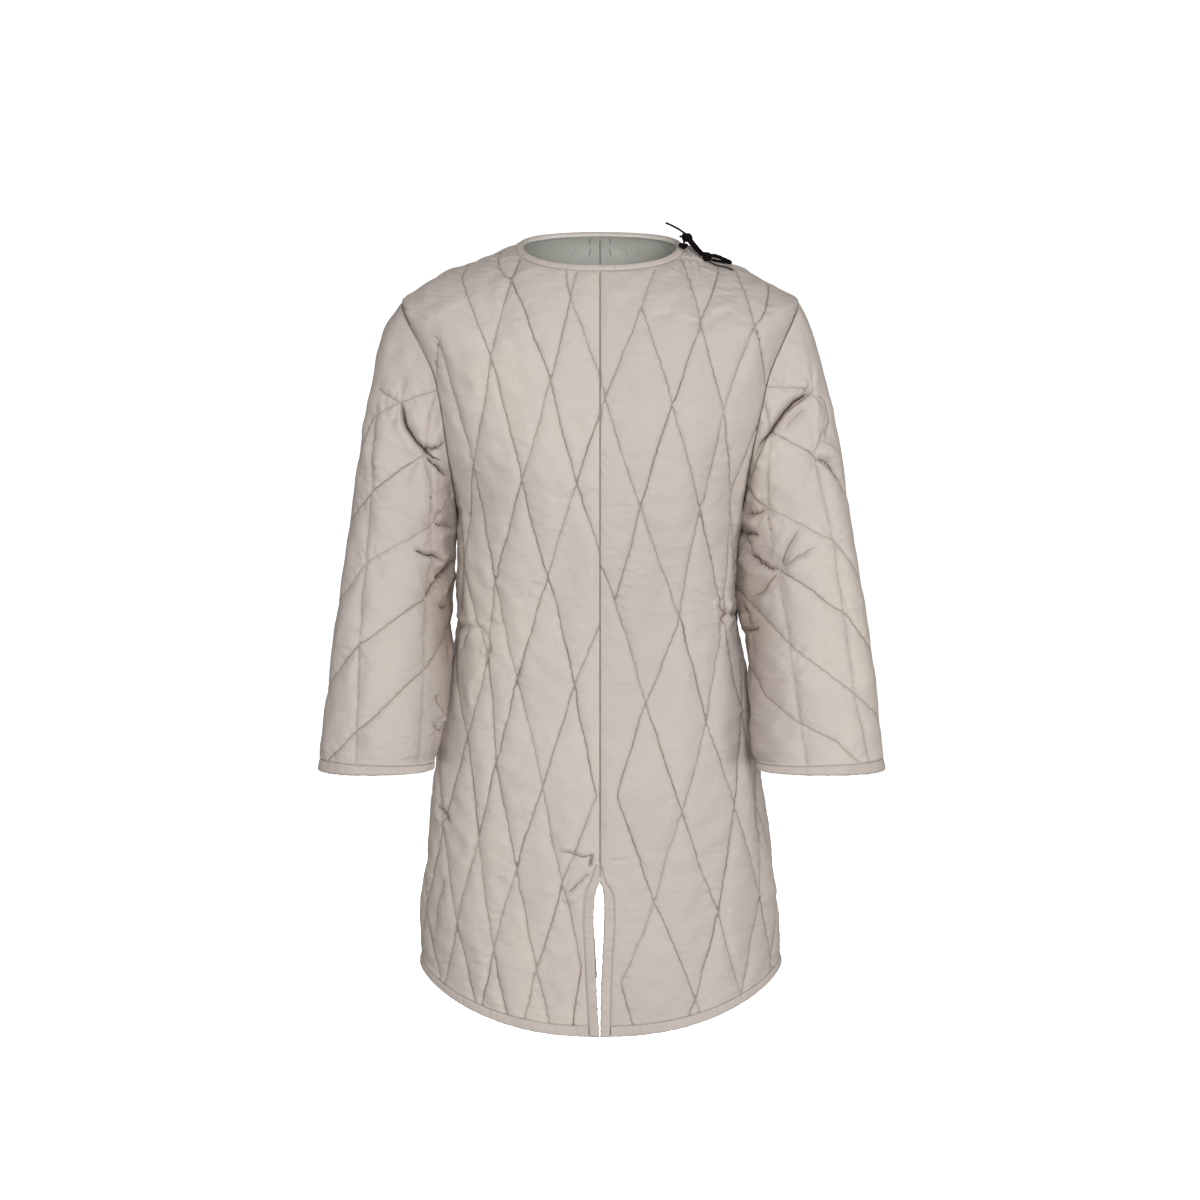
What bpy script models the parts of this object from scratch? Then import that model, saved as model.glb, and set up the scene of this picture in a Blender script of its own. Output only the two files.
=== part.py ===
"""Quilted gambeson: a long padded coat, open at neck, cuffs and hem, that a wearer's shoulders hold up.

Functions work in millimetres and the meshes are made in metres. +X is the wearer's left, -Y the front
and +Z up. The origin is the middle of the neck opening, level with the shoulders beside the neck.
"""
import math

import bmesh
import bpy
import numpy as np

MM = 0.001

# Driving dimensions, in millimetres
WALL = 6.0              # padded cloth, quilted
SEAM_GAP = 0.3          # between two pieces that are sewn together
EDGE_GAP = 0.6          # between a panel's cut edge and the fold of its binding
BINDING = 1.2           # thickness of a binding strip
PROUD = SEAM_GAP + BINDING
BODY_POWER = 2.3        # squareness of the body's sections
SLEEVE_POWER = 2.15     # squareness of the sleeve's sections
COLUMNS = 9             # faces from a panel's centre seam to its outer edge
SLIT_BAND = 11.0        # width of the slit bindings
SHOULDER_SLACK = 0.9    # extra gap along the laced shoulder
ARMHOLE_EASE = 0.5      # how far a sleeve's head stays back from the armhole's seam line
SECTION_POINTS = 160    # fine points that a section's outline is measured along
ROUTE_POINTS = 20       # fine points between two of a lace's route points
SHARP_ANGLE = math.radians(40)              # faces meeting at more than this are shaded as an edge

# Body levels, hem to neck. front_z and back_z are the heights at the centre seams and edge_z is the
# height at the panel's outer edge: the side seam, then the armhole, then the shoulder seam. half_* is
# the edge's distance from the middle, edge_y_* how far the armhole edge lies in front of and behind
# the shoulder line, depth_* the centre seams' distance from it, and arch shapes the rise between.
LEVEL_COLUMNS = ("front_z", "edge_z", "half_right", "half_left", "edge_y_front", "edge_y_back",
                 "depth_front", "back_z", "depth_back", "arch")
LEVELS = np.array([
    (-957, -892, 226, 228, 0, 0, 139, -947, 138, 1.0),
    (-870, -832, 226, 225, 0, 0, 138, -864, 136, 1.0),
    (-780, -765, 219, 217, 0, 0, 135, -777, 132, 1.0),
    (-700, -697, 212, 208, 0, 0, 130, -699, 125, 1.0),
    (-614, -614, 204, 196, 0, 0, 123, -614, 117, 1.0),
    (-522, -522, 190, 184, 0, 0, 116, -522, 109, 1.0),
    (-460, -460, 179, 173, 0, 0, 113, -459, 105, 1.0),
    (-387, -387, 177, 171, 0, 0, 121, -384, 112, 1.0),
    (-331, -331, 177, 177, 0, 0, 129, -325, 121, 1.0),
    (-322, -320, 178, 178, 20, 19, 130, -314, 122, 1.0),
    (-302, -290, 181, 181, 43, 41, 132, -288, 125, 1.0),
    (-272, -248, 187, 187, 63, 60, 133, -250, 128, 1.0),
    (-238, -205, 193, 196, 69, 66, 132, -203, 130, 1.0),
    (-200, -160, 202, 206, 66, 64, 129, -152, 130, 1.0),
    (-168, -122, 219, 222, 56, 54, 125, -108, 127, 1.0),
    (-144, -93, 235, 236, 40, 39, 121, -75, 124, 1.0),
    (-131, -75, 243, 244, 21, 20, 118, -57, 121, 1.0),
    (-124, -67, 245, 246, 0, 0, 117, -48, 119, 1.0),
    (-108, -50, 224, 222, 0, 0, 112, -33, 114, 0.9),
    (-90, -37, 203, 199, 0, 0, 105, -20, 108, 0.75),
    (-70, -22, 171, 169, 0, 0, 96, -7, 100, 0.55),
    (-48, -8, 133, 133, 0, 0, 83, 8, 88, 0.3),
    (-25, 5.5, 97, 97, 0, 0, 66, 22, 70, 0.0),
], dtype=float)
ARMPIT, SHOULDER_TIP = -331.0, -124.0       # front_z of those two levels
ARMHOLE_ROWS = [row[0] for row in LEVELS if ARMPIT <= row[0] <= SHOULDER_TIP]
SKIRT_ROWS = [-957, -945.5, -905, -862, -825, -790, -768, -748, -740,
              -680, -615, -550, -490, -430, -380, -345]
SHOULDER_ROWS = [-107, -85, -58, -30, -25]
PANEL_ROWS = SKIRT_ROWS + ARMHOLE_ROWS + SHOULDER_ROWS

# The centre slits: distance from the middle to each finished slit edge, by height
SLIT_COLUMNS = ("front_z", "right", "left")
SLIT = np.array([
    (-957, 1.2, 0.5),
    (-913, 3.4, 0.8),
    (-864, 6.0, 2.6),
    (-815, 7.6, 4.8),
    (-790, 6.4, 4.6),
    (-778, 3.6, 2.8),
    (-768, 0.4, 0.4),
    (-748, 0.4, 0.4),
], dtype=float)
SLIT_TOP = -748.0

# Sleeve sections, armhole to cuff: the outer and the inner line, how far forward the sleeve's middle
# lies, and half its depth
SLEEVE_COLUMNS = ("along", "outer_z", "outer_right", "outer_left", "inner_z", "inner_right", "inner_left",
                  "forward", "half_depth")
SLEEVE = np.array([
    (0.00, -67, 245, 246, -331, 177, 177, 0, 69),
    (0.08, -110, 270, 264, -357, 180, 176.5, 2, 70),
    (0.20, -182, 285, 283, -393, 183, 175, 8, 69),
    (0.35, -268, 298, 299, -437, 185, 173.5, 21, 66),
    (0.50, -354, 310, 311, -482, 185, 179.5, 38, 64),
    (0.65, -438, 320, 325, -528, 185, 183.5, 58, 61),
    (0.80, -520, 330, 336, -573, 189, 186.5, 75, 58),
    (0.90, -577, 337, 341, -603, 196, 188.5, 85, 56),
    (1.00, -635, 343, 347, -635, 204, 193, 93, 53),
], dtype=float)
SLEEVE_RINGS = [0, 0.08, 0.17, 0.26, 0.35, 0.44, 0.53, 0.62, 0.71, 0.80, 0.89, 0.978, 1]
CAP_BLEND = 0.30        # the share of the sleeve over which the armhole's outline eases into an oval

# Lace ties on the open left shoulder: thickness and route of each stretch, then each knot's middle and
# its three half sizes
LACES = {
    "lace_neck_tail": (2.6, [(105.0, -3.6, 16.6), (102, -5.4, 18.6), (97.5, -8, 21.4), (92.5, -11, 24.0),
                             (87.5, -13.5, 26.4), (82.5, -15.5, 28.4), (80.5, -16.2, 29.4)]),
    "lace_eyelet_strand": (2.6, [(104.7, -12.0, 9.0), (103.4, -14.8, 6.0), (102.8, -16.4, 4.0)]),
    "lace_strand_upper": (3.4, [(112.0, -9.8, 8.2), (115.4, -11.4, 4.0), (119.2, -13.4, -0.4),
                                (123.0, -16.6, -4.8), (127.8, -22.4, -9.5)]),
    "lace_strand_lower": (3.4, [(108.7, -12.3, 8.2), (111.6, -15.4, 3.6), (115.4, -18.2, -1.0),
                                (119.6, -21.2, -5.8), (125.7, -25.4, -11.0)]),
    "lace_bow_loop": (3.8, [(135.8, -22.9, -10.0), (140.5, -20.9, -10.6), (146.0, -19.0, -12.2),
                            (151.5, -17.4, -14.8), (157.0, -16.8, -17.4), (160.6, -18.6, -19.4),
                            (158.2, -22.2, -20.4), (152.5, -24.2, -19.8), (146.0, -25.6, -19.0),
                            (140.4, -27.0, -18.0), (136.8, -28.0, -16.9)]),
    "lace_outer_tail": (1.8, [(133.6, -30.6, -18.6), (138.5, -31.6, -21.6), (145.0, -30.4, -23.8),
                              (152.0, -29.0, -25.2), (158.0, -28.2, -27.0), (163.0, -28.0, -29.4)]),
}
KNOTS = {
    "lace_neck_knot": ((107.4, -7.0, 11.6), (6.2, 5.2, 5.2)),
    "lace_eyelet_knot": ((102.3, -18.5, 0.8), (5.4, 3.2, 3.4)),
    "lace_outer_knot": ((131.4, -26.8, -12.6), (5.4, 4.8, 5.2)),
}
LACE_STEP = 2.0         # spacing of a lace's points, in thicknesses

SIDES = {"right": -1.0, "left": 1.0}
FACES = {"front": -1.0, "back": 1.0}

CLOTH = ("quilted_cotton", (0.60, 0.53, 0.50), 0.9)
TAPE = ("binding_cotton", (0.57, 0.51, 0.47), 0.88)
CORD = ("black_lace", (0.010, 0.010, 0.010), 0.65)


def smooth_curve(at, values):
    """Monotone cubic through a table's column, as a function."""
    at, values = np.asarray(at, float), np.asarray(values, float)
    step = np.diff(at)
    rise = np.diff(values) / step
    slope = np.zeros(len(at))
    slope[0], slope[-1] = rise[0], rise[-1]
    for k in range(1, len(at) - 1):
        if rise[k - 1] * rise[k] > 0:
            before, after = 2 * step[k] + step[k - 1], step[k] + 2 * step[k - 1]
            slope[k] = (before + after) / (before / rise[k - 1] + after / rise[k])

    def value(x):
        k = np.clip(np.searchsorted(at, x) - 1, 0, len(step) - 1)
        h = step[k]
        f = np.clip((x - at[k]) / h, 0, 1)
        return ((1 + 2 * f) * (1 - f) ** 2 * values[k] + f * (1 - f) ** 2 * h * slope[k]
                + f * f * (3 - 2 * f) * values[k + 1] + f * f * (f - 1) * h * slope[k + 1])

    return value


def table_curves(table, columns):
    """A table's columns as functions of its first one."""
    order = np.argsort(table[:, 0])
    return {name: smooth_curve(table[order, 0], table[order, k]) for k, name in enumerate(columns)}


BODY = table_curves(LEVELS, LEVEL_COLUMNS)
SLIT_EDGE = table_curves(SLIT, SLIT_COLUMNS)
ARM = table_curves(SLEEVE, SLEEVE_COLUMNS)


def resample(points, stations):
    """Points at given distances along a polyline."""
    lengths = np.r_[0, np.cumsum(np.linalg.norm(np.diff(points, axis=0), axis=1))]
    return np.stack([np.interp(stations, lengths, points[:, k]) for k in range(3)], axis=1)


def path_length(points):
    return float(np.linalg.norm(np.diff(points, axis=0), axis=1).sum())


def body_section(face, side, height):
    """The panel's outer surface at one level: a fine line from the centre seam to the outer edge."""
    depth = BODY["depth_" + face](height)
    half = BODY["half_" + side](height)
    edge_y = BODY["edge_y_" + face](height)
    centre_z, edge_z = BODY[face + "_z"](height), BODY["edge_z"](height)
    arch = BODY["arch"](height)
    reach = half / (1 - (edge_y / depth) ** BODY_POWER) ** (1 / BODY_POWER)
    last = math.asin(min(1.0, (half / reach) ** (BODY_POWER / 2)))
    angle = np.linspace(0, last, SECTION_POINTS)
    x = reach * np.sin(angle) ** (2 / BODY_POWER)
    share = np.cos(angle) ** (2 / BODY_POWER)
    if edge_y == 0:
        share[-1] = 0
    lift = (1 - arch) * share + arch * share ** 2
    lift = (lift - lift[-1]) / (1 - lift[-1])
    z = edge_z + (centre_z - edge_z) * lift
    return np.stack([SIDES[side] * x, FACES[face] * depth * share, z], axis=1)


def panel_grid(face, side):
    """The panel's outer surface, as rows from hem to neck and columns from centre seam to edge."""
    rows = []
    for height in PANEL_ROWS:
        line = body_section(face, side, height)
        start = SLIT_EDGE[side](height) + EDGE_GAP + BINDING if height <= SLIT_TOP else 0.0
        end = path_length(line)
        stations = np.r_[start, np.linspace(start + SLIT_BAND, end, COLUMNS)]
        rows.append(resample(line, stations))
    return np.array(rows)


def armhole_ring(side):
    """The armhole's seam line: shoulder tip, down the front, under the arm and up the back."""
    front = [body_section("front", side, h)[-1] for h in reversed(ARMHOLE_ROWS)]
    back = [body_section("back", side, h)[-1] for h in ARMHOLE_ROWS[1:-1]]
    return np.array(front + back)


def sleeve_grid(side):
    """The sleeve's outer surface: rings from armhole to cuff, each starting at its outer line."""
    sign = SIDES[side]
    armhole = armhole_ring(side)
    closed = np.vstack([armhole, armhole[:1]])
    lengths = np.r_[0, np.cumsum(np.linalg.norm(np.diff(closed, axis=0), axis=1))]
    under = len(ARMHOLE_ROWS) - 1
    front_turn = math.pi * lengths[:under] / lengths[under]
    back_turn = math.pi * (1 + (lengths[under:-1] - lengths[under]) / (lengths[-1] - lengths[under]))
    turn = np.r_[front_turn, back_turn]

    def frame(along):
        outer = np.array([sign * ARM["outer_" + side](along), 0, ARM["outer_z"](along)])
        inner = np.array([sign * ARM["inner_" + side](along), 0, ARM["inner_z"](along)])
        middle = (outer + inner) / 2
        middle[1] = -ARM["forward"](along)
        half = np.linalg.norm(outer - inner) / 2
        across = (outer - inner) / (2 * half)
        return middle, half, across, np.cross(across, (0, 1, 0))

    middle, half, across, normal = frame(0)
    depth = ARM["half_depth"](0)
    offset = armhole - middle
    own = np.stack([offset @ across / half, offset[:, 1] / depth, offset @ normal / half], axis=1)
    power = 2 / SLEEVE_POWER
    oval = np.stack([np.sign(np.cos(turn)) * np.abs(np.cos(turn)) ** power,
                     -np.sign(np.sin(turn)) * np.abs(np.sin(turn)) ** power, 0 * turn], axis=1)
    rings = []
    for along in SLEEVE_RINGS:
        ease = min(along / CAP_BLEND, 1)
        ease = ease * ease * (3 - 2 * ease)
        shape = (1 - ease) * own + ease * oval
        middle, half, across, normal = frame(along)
        ring = (middle + np.outer(shape[:, 0] * half, across) + np.outer(shape[:, 2] * half, normal)
                + np.outer(shape[:, 1] * ARM["half_depth"](along), (0, 1, 0)))
        rings.append(ring)
    return np.array(rings)


def grid_normals(grid, wrap=False):
    """Unit normals of a grid, one-sided at its edges unless it closes round."""
    down = np.gradient(grid, axis=0)
    if wrap:
        over = (np.roll(grid, -1, axis=1) - np.roll(grid, 1, axis=1)) / 2
    else:
        over = np.gradient(grid, axis=1)
    normals = np.cross(over, down)
    return normals / np.linalg.norm(normals, axis=2, keepdims=True)


def point_key(point):
    return tuple(np.round(point, 1) + 0.0)


def share_normals(surfaces):
    """Points that pieces share along their seams get one normal, so that the walls meet face to face."""
    shared = {}
    for grid, normals in surfaces.values():
        for point, normal in zip(grid.reshape(-1, 3), normals.reshape(-1, 3)):
            shared.setdefault(point_key(point), []).append(normal.copy())
    for grid, normals in surfaces.values():
        flat = normals.reshape(-1, 3)
        for k, point in enumerate(grid.reshape(-1, 3)):
            total = np.sum(shared[point_key(point)], axis=0)
            flat[k] = total / np.linalg.norm(total)


def inner_surface(grid, normals, side):
    """The lining side. Along the armhole the wall's edge points to the middle of the armhole."""
    inner = grid - WALL * normals
    armhole = armhole_ring(side)
    middle = armhole.mean(axis=0)
    on_seam = {point_key(point) for point in armhole}
    for k in np.ndindex(grid.shape[:2]):
        if point_key(grid[k]) in on_seam:
            inward = middle - grid[k]
            inner[k] = grid[k] + WALL * inward / np.linalg.norm(inward)
    return inner


def draw_back(surface, edge, amount):
    """Moves one edge of a surface towards its own next row or column, which opens the seam gap."""
    index = {"centre": (slice(None), 0), "outer": (slice(None), -1), "low": (0,), "top": (-1,)}[edge]
    beside = {"centre": (slice(None), 1), "outer": (slice(None), -2), "low": (1,), "top": (-2,)}[edge]
    step = surface[beside] - surface[index]
    surface[index] += amount * step / np.linalg.norm(step, axis=-1, keepdims=True)


def add_object(name, points, faces, material):
    """One closed piece in metres, its faces pointing out."""
    mesh = bpy.data.meshes.new(name)
    mesh.from_pydata([tuple(p) for p in np.asarray(points) * MM], [], faces)
    work = bmesh.new()
    work.from_mesh(mesh)
    bmesh.ops.recalc_face_normals(work, faces=work.faces)
    work.to_mesh(mesh)
    work.free()
    mesh.shade_smooth()
    mesh.set_sharp_from_angle(angle=SHARP_ANGLE)
    link_object(name, mesh, material)


def link_object(name, data, material):
    data.materials.append(surface_material(*material))
    bpy.context.scene.collection.objects.link(bpy.data.objects.new(name, data))


def surface_material(name, color, roughness):
    """A material slot, made once."""
    material = bpy.data.materials.get(name)
    if material is None:
        material = bpy.data.materials.new(name)
        material.use_nodes = True
        shader = material.node_tree.nodes["Principled BSDF"]
        shader.inputs["Base Color"].default_value = (*color, 1)
        shader.inputs["Roughness"].default_value = roughness
        shader.inputs["Metallic"].default_value = 0
    return material


def add_wall(name, outer, inner, wrap=False):
    """A closed wall between two grids, with a rim along each free edge."""
    rows, columns = outer.shape[:2]
    count = rows * columns

    def at(r, c, layer):
        return layer * count + r * columns + c % columns

    faces = []
    spans = columns if wrap else columns - 1
    for r in range(rows - 1):
        for c in range(spans):
            for layer in (0, 1):
                quad = (at(r, c, layer), at(r, c + 1, layer), at(r + 1, c + 1, layer), at(r + 1, c, layer))
                faces.append(quad if layer == 0 else quad[::-1])
    for c in range(spans):
        for r in (0, rows - 1):
            faces.append((at(r, c, 0), at(r, c + 1, 0), at(r, c + 1, 1), at(r, c, 1)))
    if not wrap:
        for r in range(rows - 1):
            for c in (0, columns - 1):
                faces.append((at(r, c, 0), at(r + 1, c, 0), at(r + 1, c, 1), at(r, c, 1)))
    add_object(name, np.vstack([outer.reshape(-1, 3), inner.reshape(-1, 3)]), faces, CLOTH)


def add_binding(name, edge, beside, closed=False):
    """A strip folded over an edge. edge and beside are (outer points, inner points, normals) of the
    panel's edge line and of the line where the strip ends on the panel."""
    edge_out, edge_in, edge_normal = edge
    band_out, band_in, band_normal = beside
    away = (edge_out + edge_in) / 2 - (band_out + band_in) / 2
    away /= np.linalg.norm(away, axis=1, keepdims=True)
    near, far, fold = SEAM_GAP, PROUD, EDGE_GAP + BINDING
    section = [
        band_out + near * band_normal,
        band_out + far * band_normal,
        edge_out + far * edge_normal + fold * away,
        edge_in - far * edge_normal + fold * away,
        band_in - far * band_normal,
        band_in - near * band_normal,
        edge_in - near * edge_normal + EDGE_GAP * away,
        edge_out + near * edge_normal + EDGE_GAP * away,
    ]
    stations, corners = len(edge_out), len(section)
    points = np.stack(section, axis=1).reshape(-1, 3)
    faces = []
    for s in range(stations if closed else stations - 1):
        here, there = s * corners, (s + 1) % stations * corners
        for k in range(corners):
            nxt = (k + 1) % corners
            faces.append((here + k, here + nxt, there + nxt, there + k))
    if not closed:
        for end in (0, (stations - 1) * corners):
            for a, b, c, d in ((0, 1, 2, 7), (7, 2, 3, 6), (6, 3, 4, 5)):
                faces.append((end + a, end + b, end + c, end + d))
    add_object(name, points, faces, TAPE)


def build_cloth():
    """Panels, sleeves and their bindings."""
    surfaces = {}
    for side in SIDES:
        for face in FACES:
            grid = panel_grid(face, side)
            turn = -SIDES[side] * FACES[face]
            surfaces[face + "_" + side] = (grid, turn * grid_normals(grid))
        grid = sleeve_grid(side)
        surfaces["sleeve_" + side] = (grid, SIDES[side] * grid_normals(grid, wrap=True))
    share_normals(surfaces)

    walls = {}
    for name, (grid, normals) in surfaces.items():
        walls[name] = (grid, inner_surface(grid, normals, name.split("_")[1]), normals)

    add_bindings(walls)
    slit_rows = PANEL_ROWS.index(SLIT_TOP) + 1
    for name, (outer, inner, _) in walls.items():
        outer, inner = outer.copy(), inner.copy()
        for surface in (outer, inner):
            if name.startswith("sleeve"):
                draw_back(surface, "low", ARMHOLE_EASE)
                continue
            slit = surface[:slit_rows, 0].copy()
            draw_back(surface, "centre", SEAM_GAP / 2)
            surface[:slit_rows, 0] = slit
            draw_back(surface, "outer", SEAM_GAP / 2)
            if name.endswith("left"):
                above_tip = surface[-len(SHOULDER_ROWS):]
                draw_back(above_tip, "outer", SHOULDER_SLACK / 2)
        add_wall(name, outer, inner, wrap=name.startswith("sleeve"))


def line_of(wall, rows, columns):
    """One line of a wall: its outer points, inner points and normals."""
    return tuple(part[rows, columns] for part in wall)


def join_lines(*lines):
    return tuple(np.vstack(parts) for parts in zip(*lines))


def move_ends(line, amount, ends=("first", "last")):
    """Moves a line's end points towards their neighbours, or past the end where amount is negative."""
    pairs = {"first": (0, 1), "last": (-1, -2)}
    for surface in line[:2]:
        for end, beside in (pairs[name] for name in ends):
            step = surface[beside] - surface[end]
            surface[end] += amount * step / np.linalg.norm(step)


def add_bindings(walls):
    """The slit and hem bindings, the cuff bindings and one strip round the neck."""
    slit_rows = slice(0, PANEL_ROWS.index(SLIT_TOP) + 1)
    for side in SIDES:
        for face in FACES:
            wall = walls[face + "_" + side]
            edge, beside = line_of(wall, slit_rows, 0), line_of(wall, slit_rows, 1)
            for line in (edge, beside):
                move_ends(line, -PROUD, ends=("first",))
            add_binding("slit_binding_" + face + "_" + side, edge, trim(beside, edge, SEAM_GAP))
            edge, beside = line_of(wall, 0, slice(1, None)), line_of(wall, 1, slice(1, None))
            for line in (edge, beside):
                move_ends(line, SEAM_GAP / 2)
            add_binding("hem_binding_" + face + "_" + side, edge, beside)
        cuff = walls["sleeve_" + side]
        add_binding("cuff_binding_" + side, line_of(cuff, -1, slice(None)), line_of(cuff, -2, slice(None)),
                    closed=True)
    lines = []
    for row in (-1, -2):
        lines.append(join_lines(
            line_of(walls["front_left"], row, slice(None, None, -1)),
            line_of(walls["front_right"], row, slice(1, None)),
            line_of(walls["back_right"], row, slice(-2, None, -1)),
            line_of(walls["back_left"], row, slice(1, None))))
    for line in lines:
        move_ends(line, (SHOULDER_SLACK + SEAM_GAP) / 2)
    add_binding("neck_binding", *lines)


def trim(beside, edge, amount):
    """Moves a band's outer line towards its edge, so that it clears the strip beside it."""
    out = []
    for far, near in zip(beside[:2], edge[:2]):
        step = near - far
        out.append(far + amount * step / np.linalg.norm(step, axis=1, keepdims=True))
    return (*out, beside[2])


def smooth_route(route, spacing):
    """Evenly spaced points on a smooth curve through a lace's route points."""
    route = np.asarray(route, float)
    along = np.r_[0, np.cumsum(np.linalg.norm(np.diff(route, axis=0), axis=1))]
    tangent = np.gradient(route, along, axis=0)
    fine = []
    for k in range(len(route) - 1):
        h = along[k + 1] - along[k]
        for f in np.linspace(0, 1, ROUTE_POINTS, endpoint=False):
            fine.append((1 + 2 * f) * (1 - f) ** 2 * route[k] + f * (1 - f) ** 2 * h * tangent[k]
                        + f * f * (3 - 2 * f) * route[k + 1] + f * f * (f - 1) * h * tangent[k + 1])
    fine.append(route[-1])
    fine = np.array(fine)
    total = path_length(fine)
    return resample(fine, np.linspace(0, total, max(3, round(total / spacing) + 1)))


def add_lace(name, thickness, route):
    """A round lace along its route."""
    points = smooth_route(route, LACE_STEP * thickness)
    curve = bpy.data.curves.new(name, "CURVE")
    curve.dimensions = "3D"
    curve.bevel_depth = thickness / 2 * MM
    curve.bevel_resolution = 2
    curve.use_fill_caps = True
    spline = curve.splines.new("POLY")
    spline.points.add(len(points) - 1)
    for spot, point in zip(spline.points, points):
        spot.co = (*(point * MM), 1)
    link_object(name, curve, CORD)


def add_knot(name, middle, half_sizes):
    """A rounded knot."""
    mesh = bpy.data.meshes.new(name)
    work = bmesh.new()
    bmesh.ops.create_icosphere(work, subdivisions=2, radius=1)
    bmesh.ops.scale(work, vec=[half * MM for half in half_sizes], verts=work.verts)
    bmesh.ops.translate(work, vec=[part * MM for part in middle], verts=work.verts)
    work.to_mesh(mesh)
    work.free()
    mesh.shade_smooth()
    link_object(name, mesh, CORD)


def main():
    for old in list(bpy.data.objects):
        bpy.data.objects.remove(old, do_unlink=True)
    build_cloth()
    for name, (thickness, route) in LACES.items():
        add_lace(name, thickness, route)
    for name, (middle, half_sizes) in KNOTS.items():
        add_knot(name, middle, half_sizes)


main()
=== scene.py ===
"""The look of the quilted gambeson: padded panels and sleeves, bound edges, laces, light and camera.

Functions work in millimetres, as the part's source does, and meshes are made in metres. +X is the
wearer's left, -Y the front and +Z up.
"""
import math
from collections import namedtuple

import bpy
import numpy as np
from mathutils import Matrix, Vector
from mathutils.kdtree import KDTree


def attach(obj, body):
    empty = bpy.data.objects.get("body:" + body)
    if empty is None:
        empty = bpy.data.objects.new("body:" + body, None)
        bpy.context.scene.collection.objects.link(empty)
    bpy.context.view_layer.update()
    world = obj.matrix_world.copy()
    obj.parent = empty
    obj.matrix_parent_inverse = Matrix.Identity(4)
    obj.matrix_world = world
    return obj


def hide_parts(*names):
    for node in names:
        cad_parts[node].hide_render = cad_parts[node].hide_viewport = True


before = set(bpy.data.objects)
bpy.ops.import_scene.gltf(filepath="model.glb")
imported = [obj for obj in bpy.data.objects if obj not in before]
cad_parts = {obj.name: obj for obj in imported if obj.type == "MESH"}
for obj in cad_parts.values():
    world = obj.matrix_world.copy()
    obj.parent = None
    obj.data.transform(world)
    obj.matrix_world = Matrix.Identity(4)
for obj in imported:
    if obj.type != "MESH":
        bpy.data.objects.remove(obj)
bpy.ops.object.select_all(action="DESELECT")
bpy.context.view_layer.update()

MM = 0.001

# ------------------------------------------------------------------ sizes shared with the part's source
WALL = 6.0              # padded cloth
SEAM_GAP = 0.3          # between two pieces that are sewn together
EDGE_GAP = 0.6          # between a panel's cut edge and the fold of its binding
BINDING = 1.2           # thickness of a binding strip
PROUD = SEAM_GAP + BINDING
BODY_POWER = 2.3        # fullness of the body's section, 2 being an oval
SLEEVE_POWER = 2.15     # the same for a sleeve
SLIT_BAND = 11.0        # width of the slit bindings
SHOULDER_SLACK = 0.9    # opening of the laced shoulder seam
HAIRLINE = 0.04         # half of the opening left between two sewn pieces
SECTION_POINTS = 160    # points across a panel at one level

# The body, level by level: heights at the front seam and at the outer edge, half widths, how far that edge
# stands forward and back at the armhole, depth in front, height at the back seam, depth behind, and
# whether the level slopes straight (0) or in a curve (1) from the seam to the edge
LEVEL_COLUMNS = ("front_z", "edge_z", "half_right", "half_left", "edge_y_front", "edge_y_back",
                 "depth_front", "back_z", "depth_back", "arch")
LEVELS = np.array([
    (-957, -892, 226, 228, 0, 0, 139, -947, 138, 1.0),
    (-870, -832, 226, 225, 0, 0, 138, -864, 136, 1.0),
    (-780, -765, 219, 217, 0, 0, 135, -777, 132, 1.0),
    (-700, -697, 212, 208, 0, 0, 130, -699, 125, 1.0),
    (-614, -614, 204, 196, 0, 0, 123, -614, 117, 1.0),
    (-522, -522, 190, 184, 0, 0, 116, -522, 109, 1.0),
    (-460, -460, 179, 173, 0, 0, 113, -459, 105, 1.0),
    (-387, -387, 177, 171, 0, 0, 121, -384, 112, 1.0),
    (-331, -331, 177, 177, 0, 0, 129, -325, 121, 1.0),
    (-322, -320, 178, 178, 20, 19, 130, -314, 122, 1.0),
    (-302, -290, 181, 181, 43, 41, 132, -288, 125, 1.0),
    (-272, -248, 187, 187, 63, 60, 133, -250, 128, 1.0),
    (-238, -205, 193, 196, 69, 66, 132, -203, 130, 1.0),
    (-200, -160, 202, 206, 66, 64, 129, -152, 130, 1.0),
    (-168, -122, 219, 222, 56, 54, 125, -108, 127, 1.0),
    (-144, -93, 235, 236, 40, 39, 121, -75, 124, 1.0),
    (-131, -75, 243, 244, 21, 20, 118, -57, 121, 1.0),
    (-124, -67, 245, 246, 0, 0, 117, -48, 119, 1.0),
    (-108, -50, 224, 222, 0, 0, 112, -33, 114, 0.9),
    (-90, -37, 203, 199, 0, 0, 105, -20, 108, 0.75),
    (-70, -22, 171, 169, 0, 0, 96, -7, 100, 0.55),
    (-48, -8, 133, 133, 0, 0, 83, 8, 88, 0.3),
    (-25, 5.5, 97, 97, 0, 0, 66, 22, 70, 0.0),
], dtype=float)
HEM, HEM_SEAM = -957.0, -945.5
NECK, NECK_SEAM = -25.0, -30.0
NECK_PRESSED, NECK_FOLD = 1.15, 1.3     # the neck binding lies flatter than the others
ARMPIT, SHOULDER_TIP = -331.0, -124.0

# The slits: how far each side's bound edge stands from the middle, by height
SLIT_COLUMNS = ("front_z", "right", "left")
SLIT = np.array([
    (-957, 0.7, 0.2),
    (-913, 3.4, 0.8),
    (-864, 6.0, 2.6),
    (-815, 7.6, 4.8),
    (-790, 6.4, 4.6),
    (-777, 3.8, 3.0),
    (-768, 0.1, 0.1),
    (-748, 0.05, 0.05),
], dtype=float)
SLIT_TOP = -748.0

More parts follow.
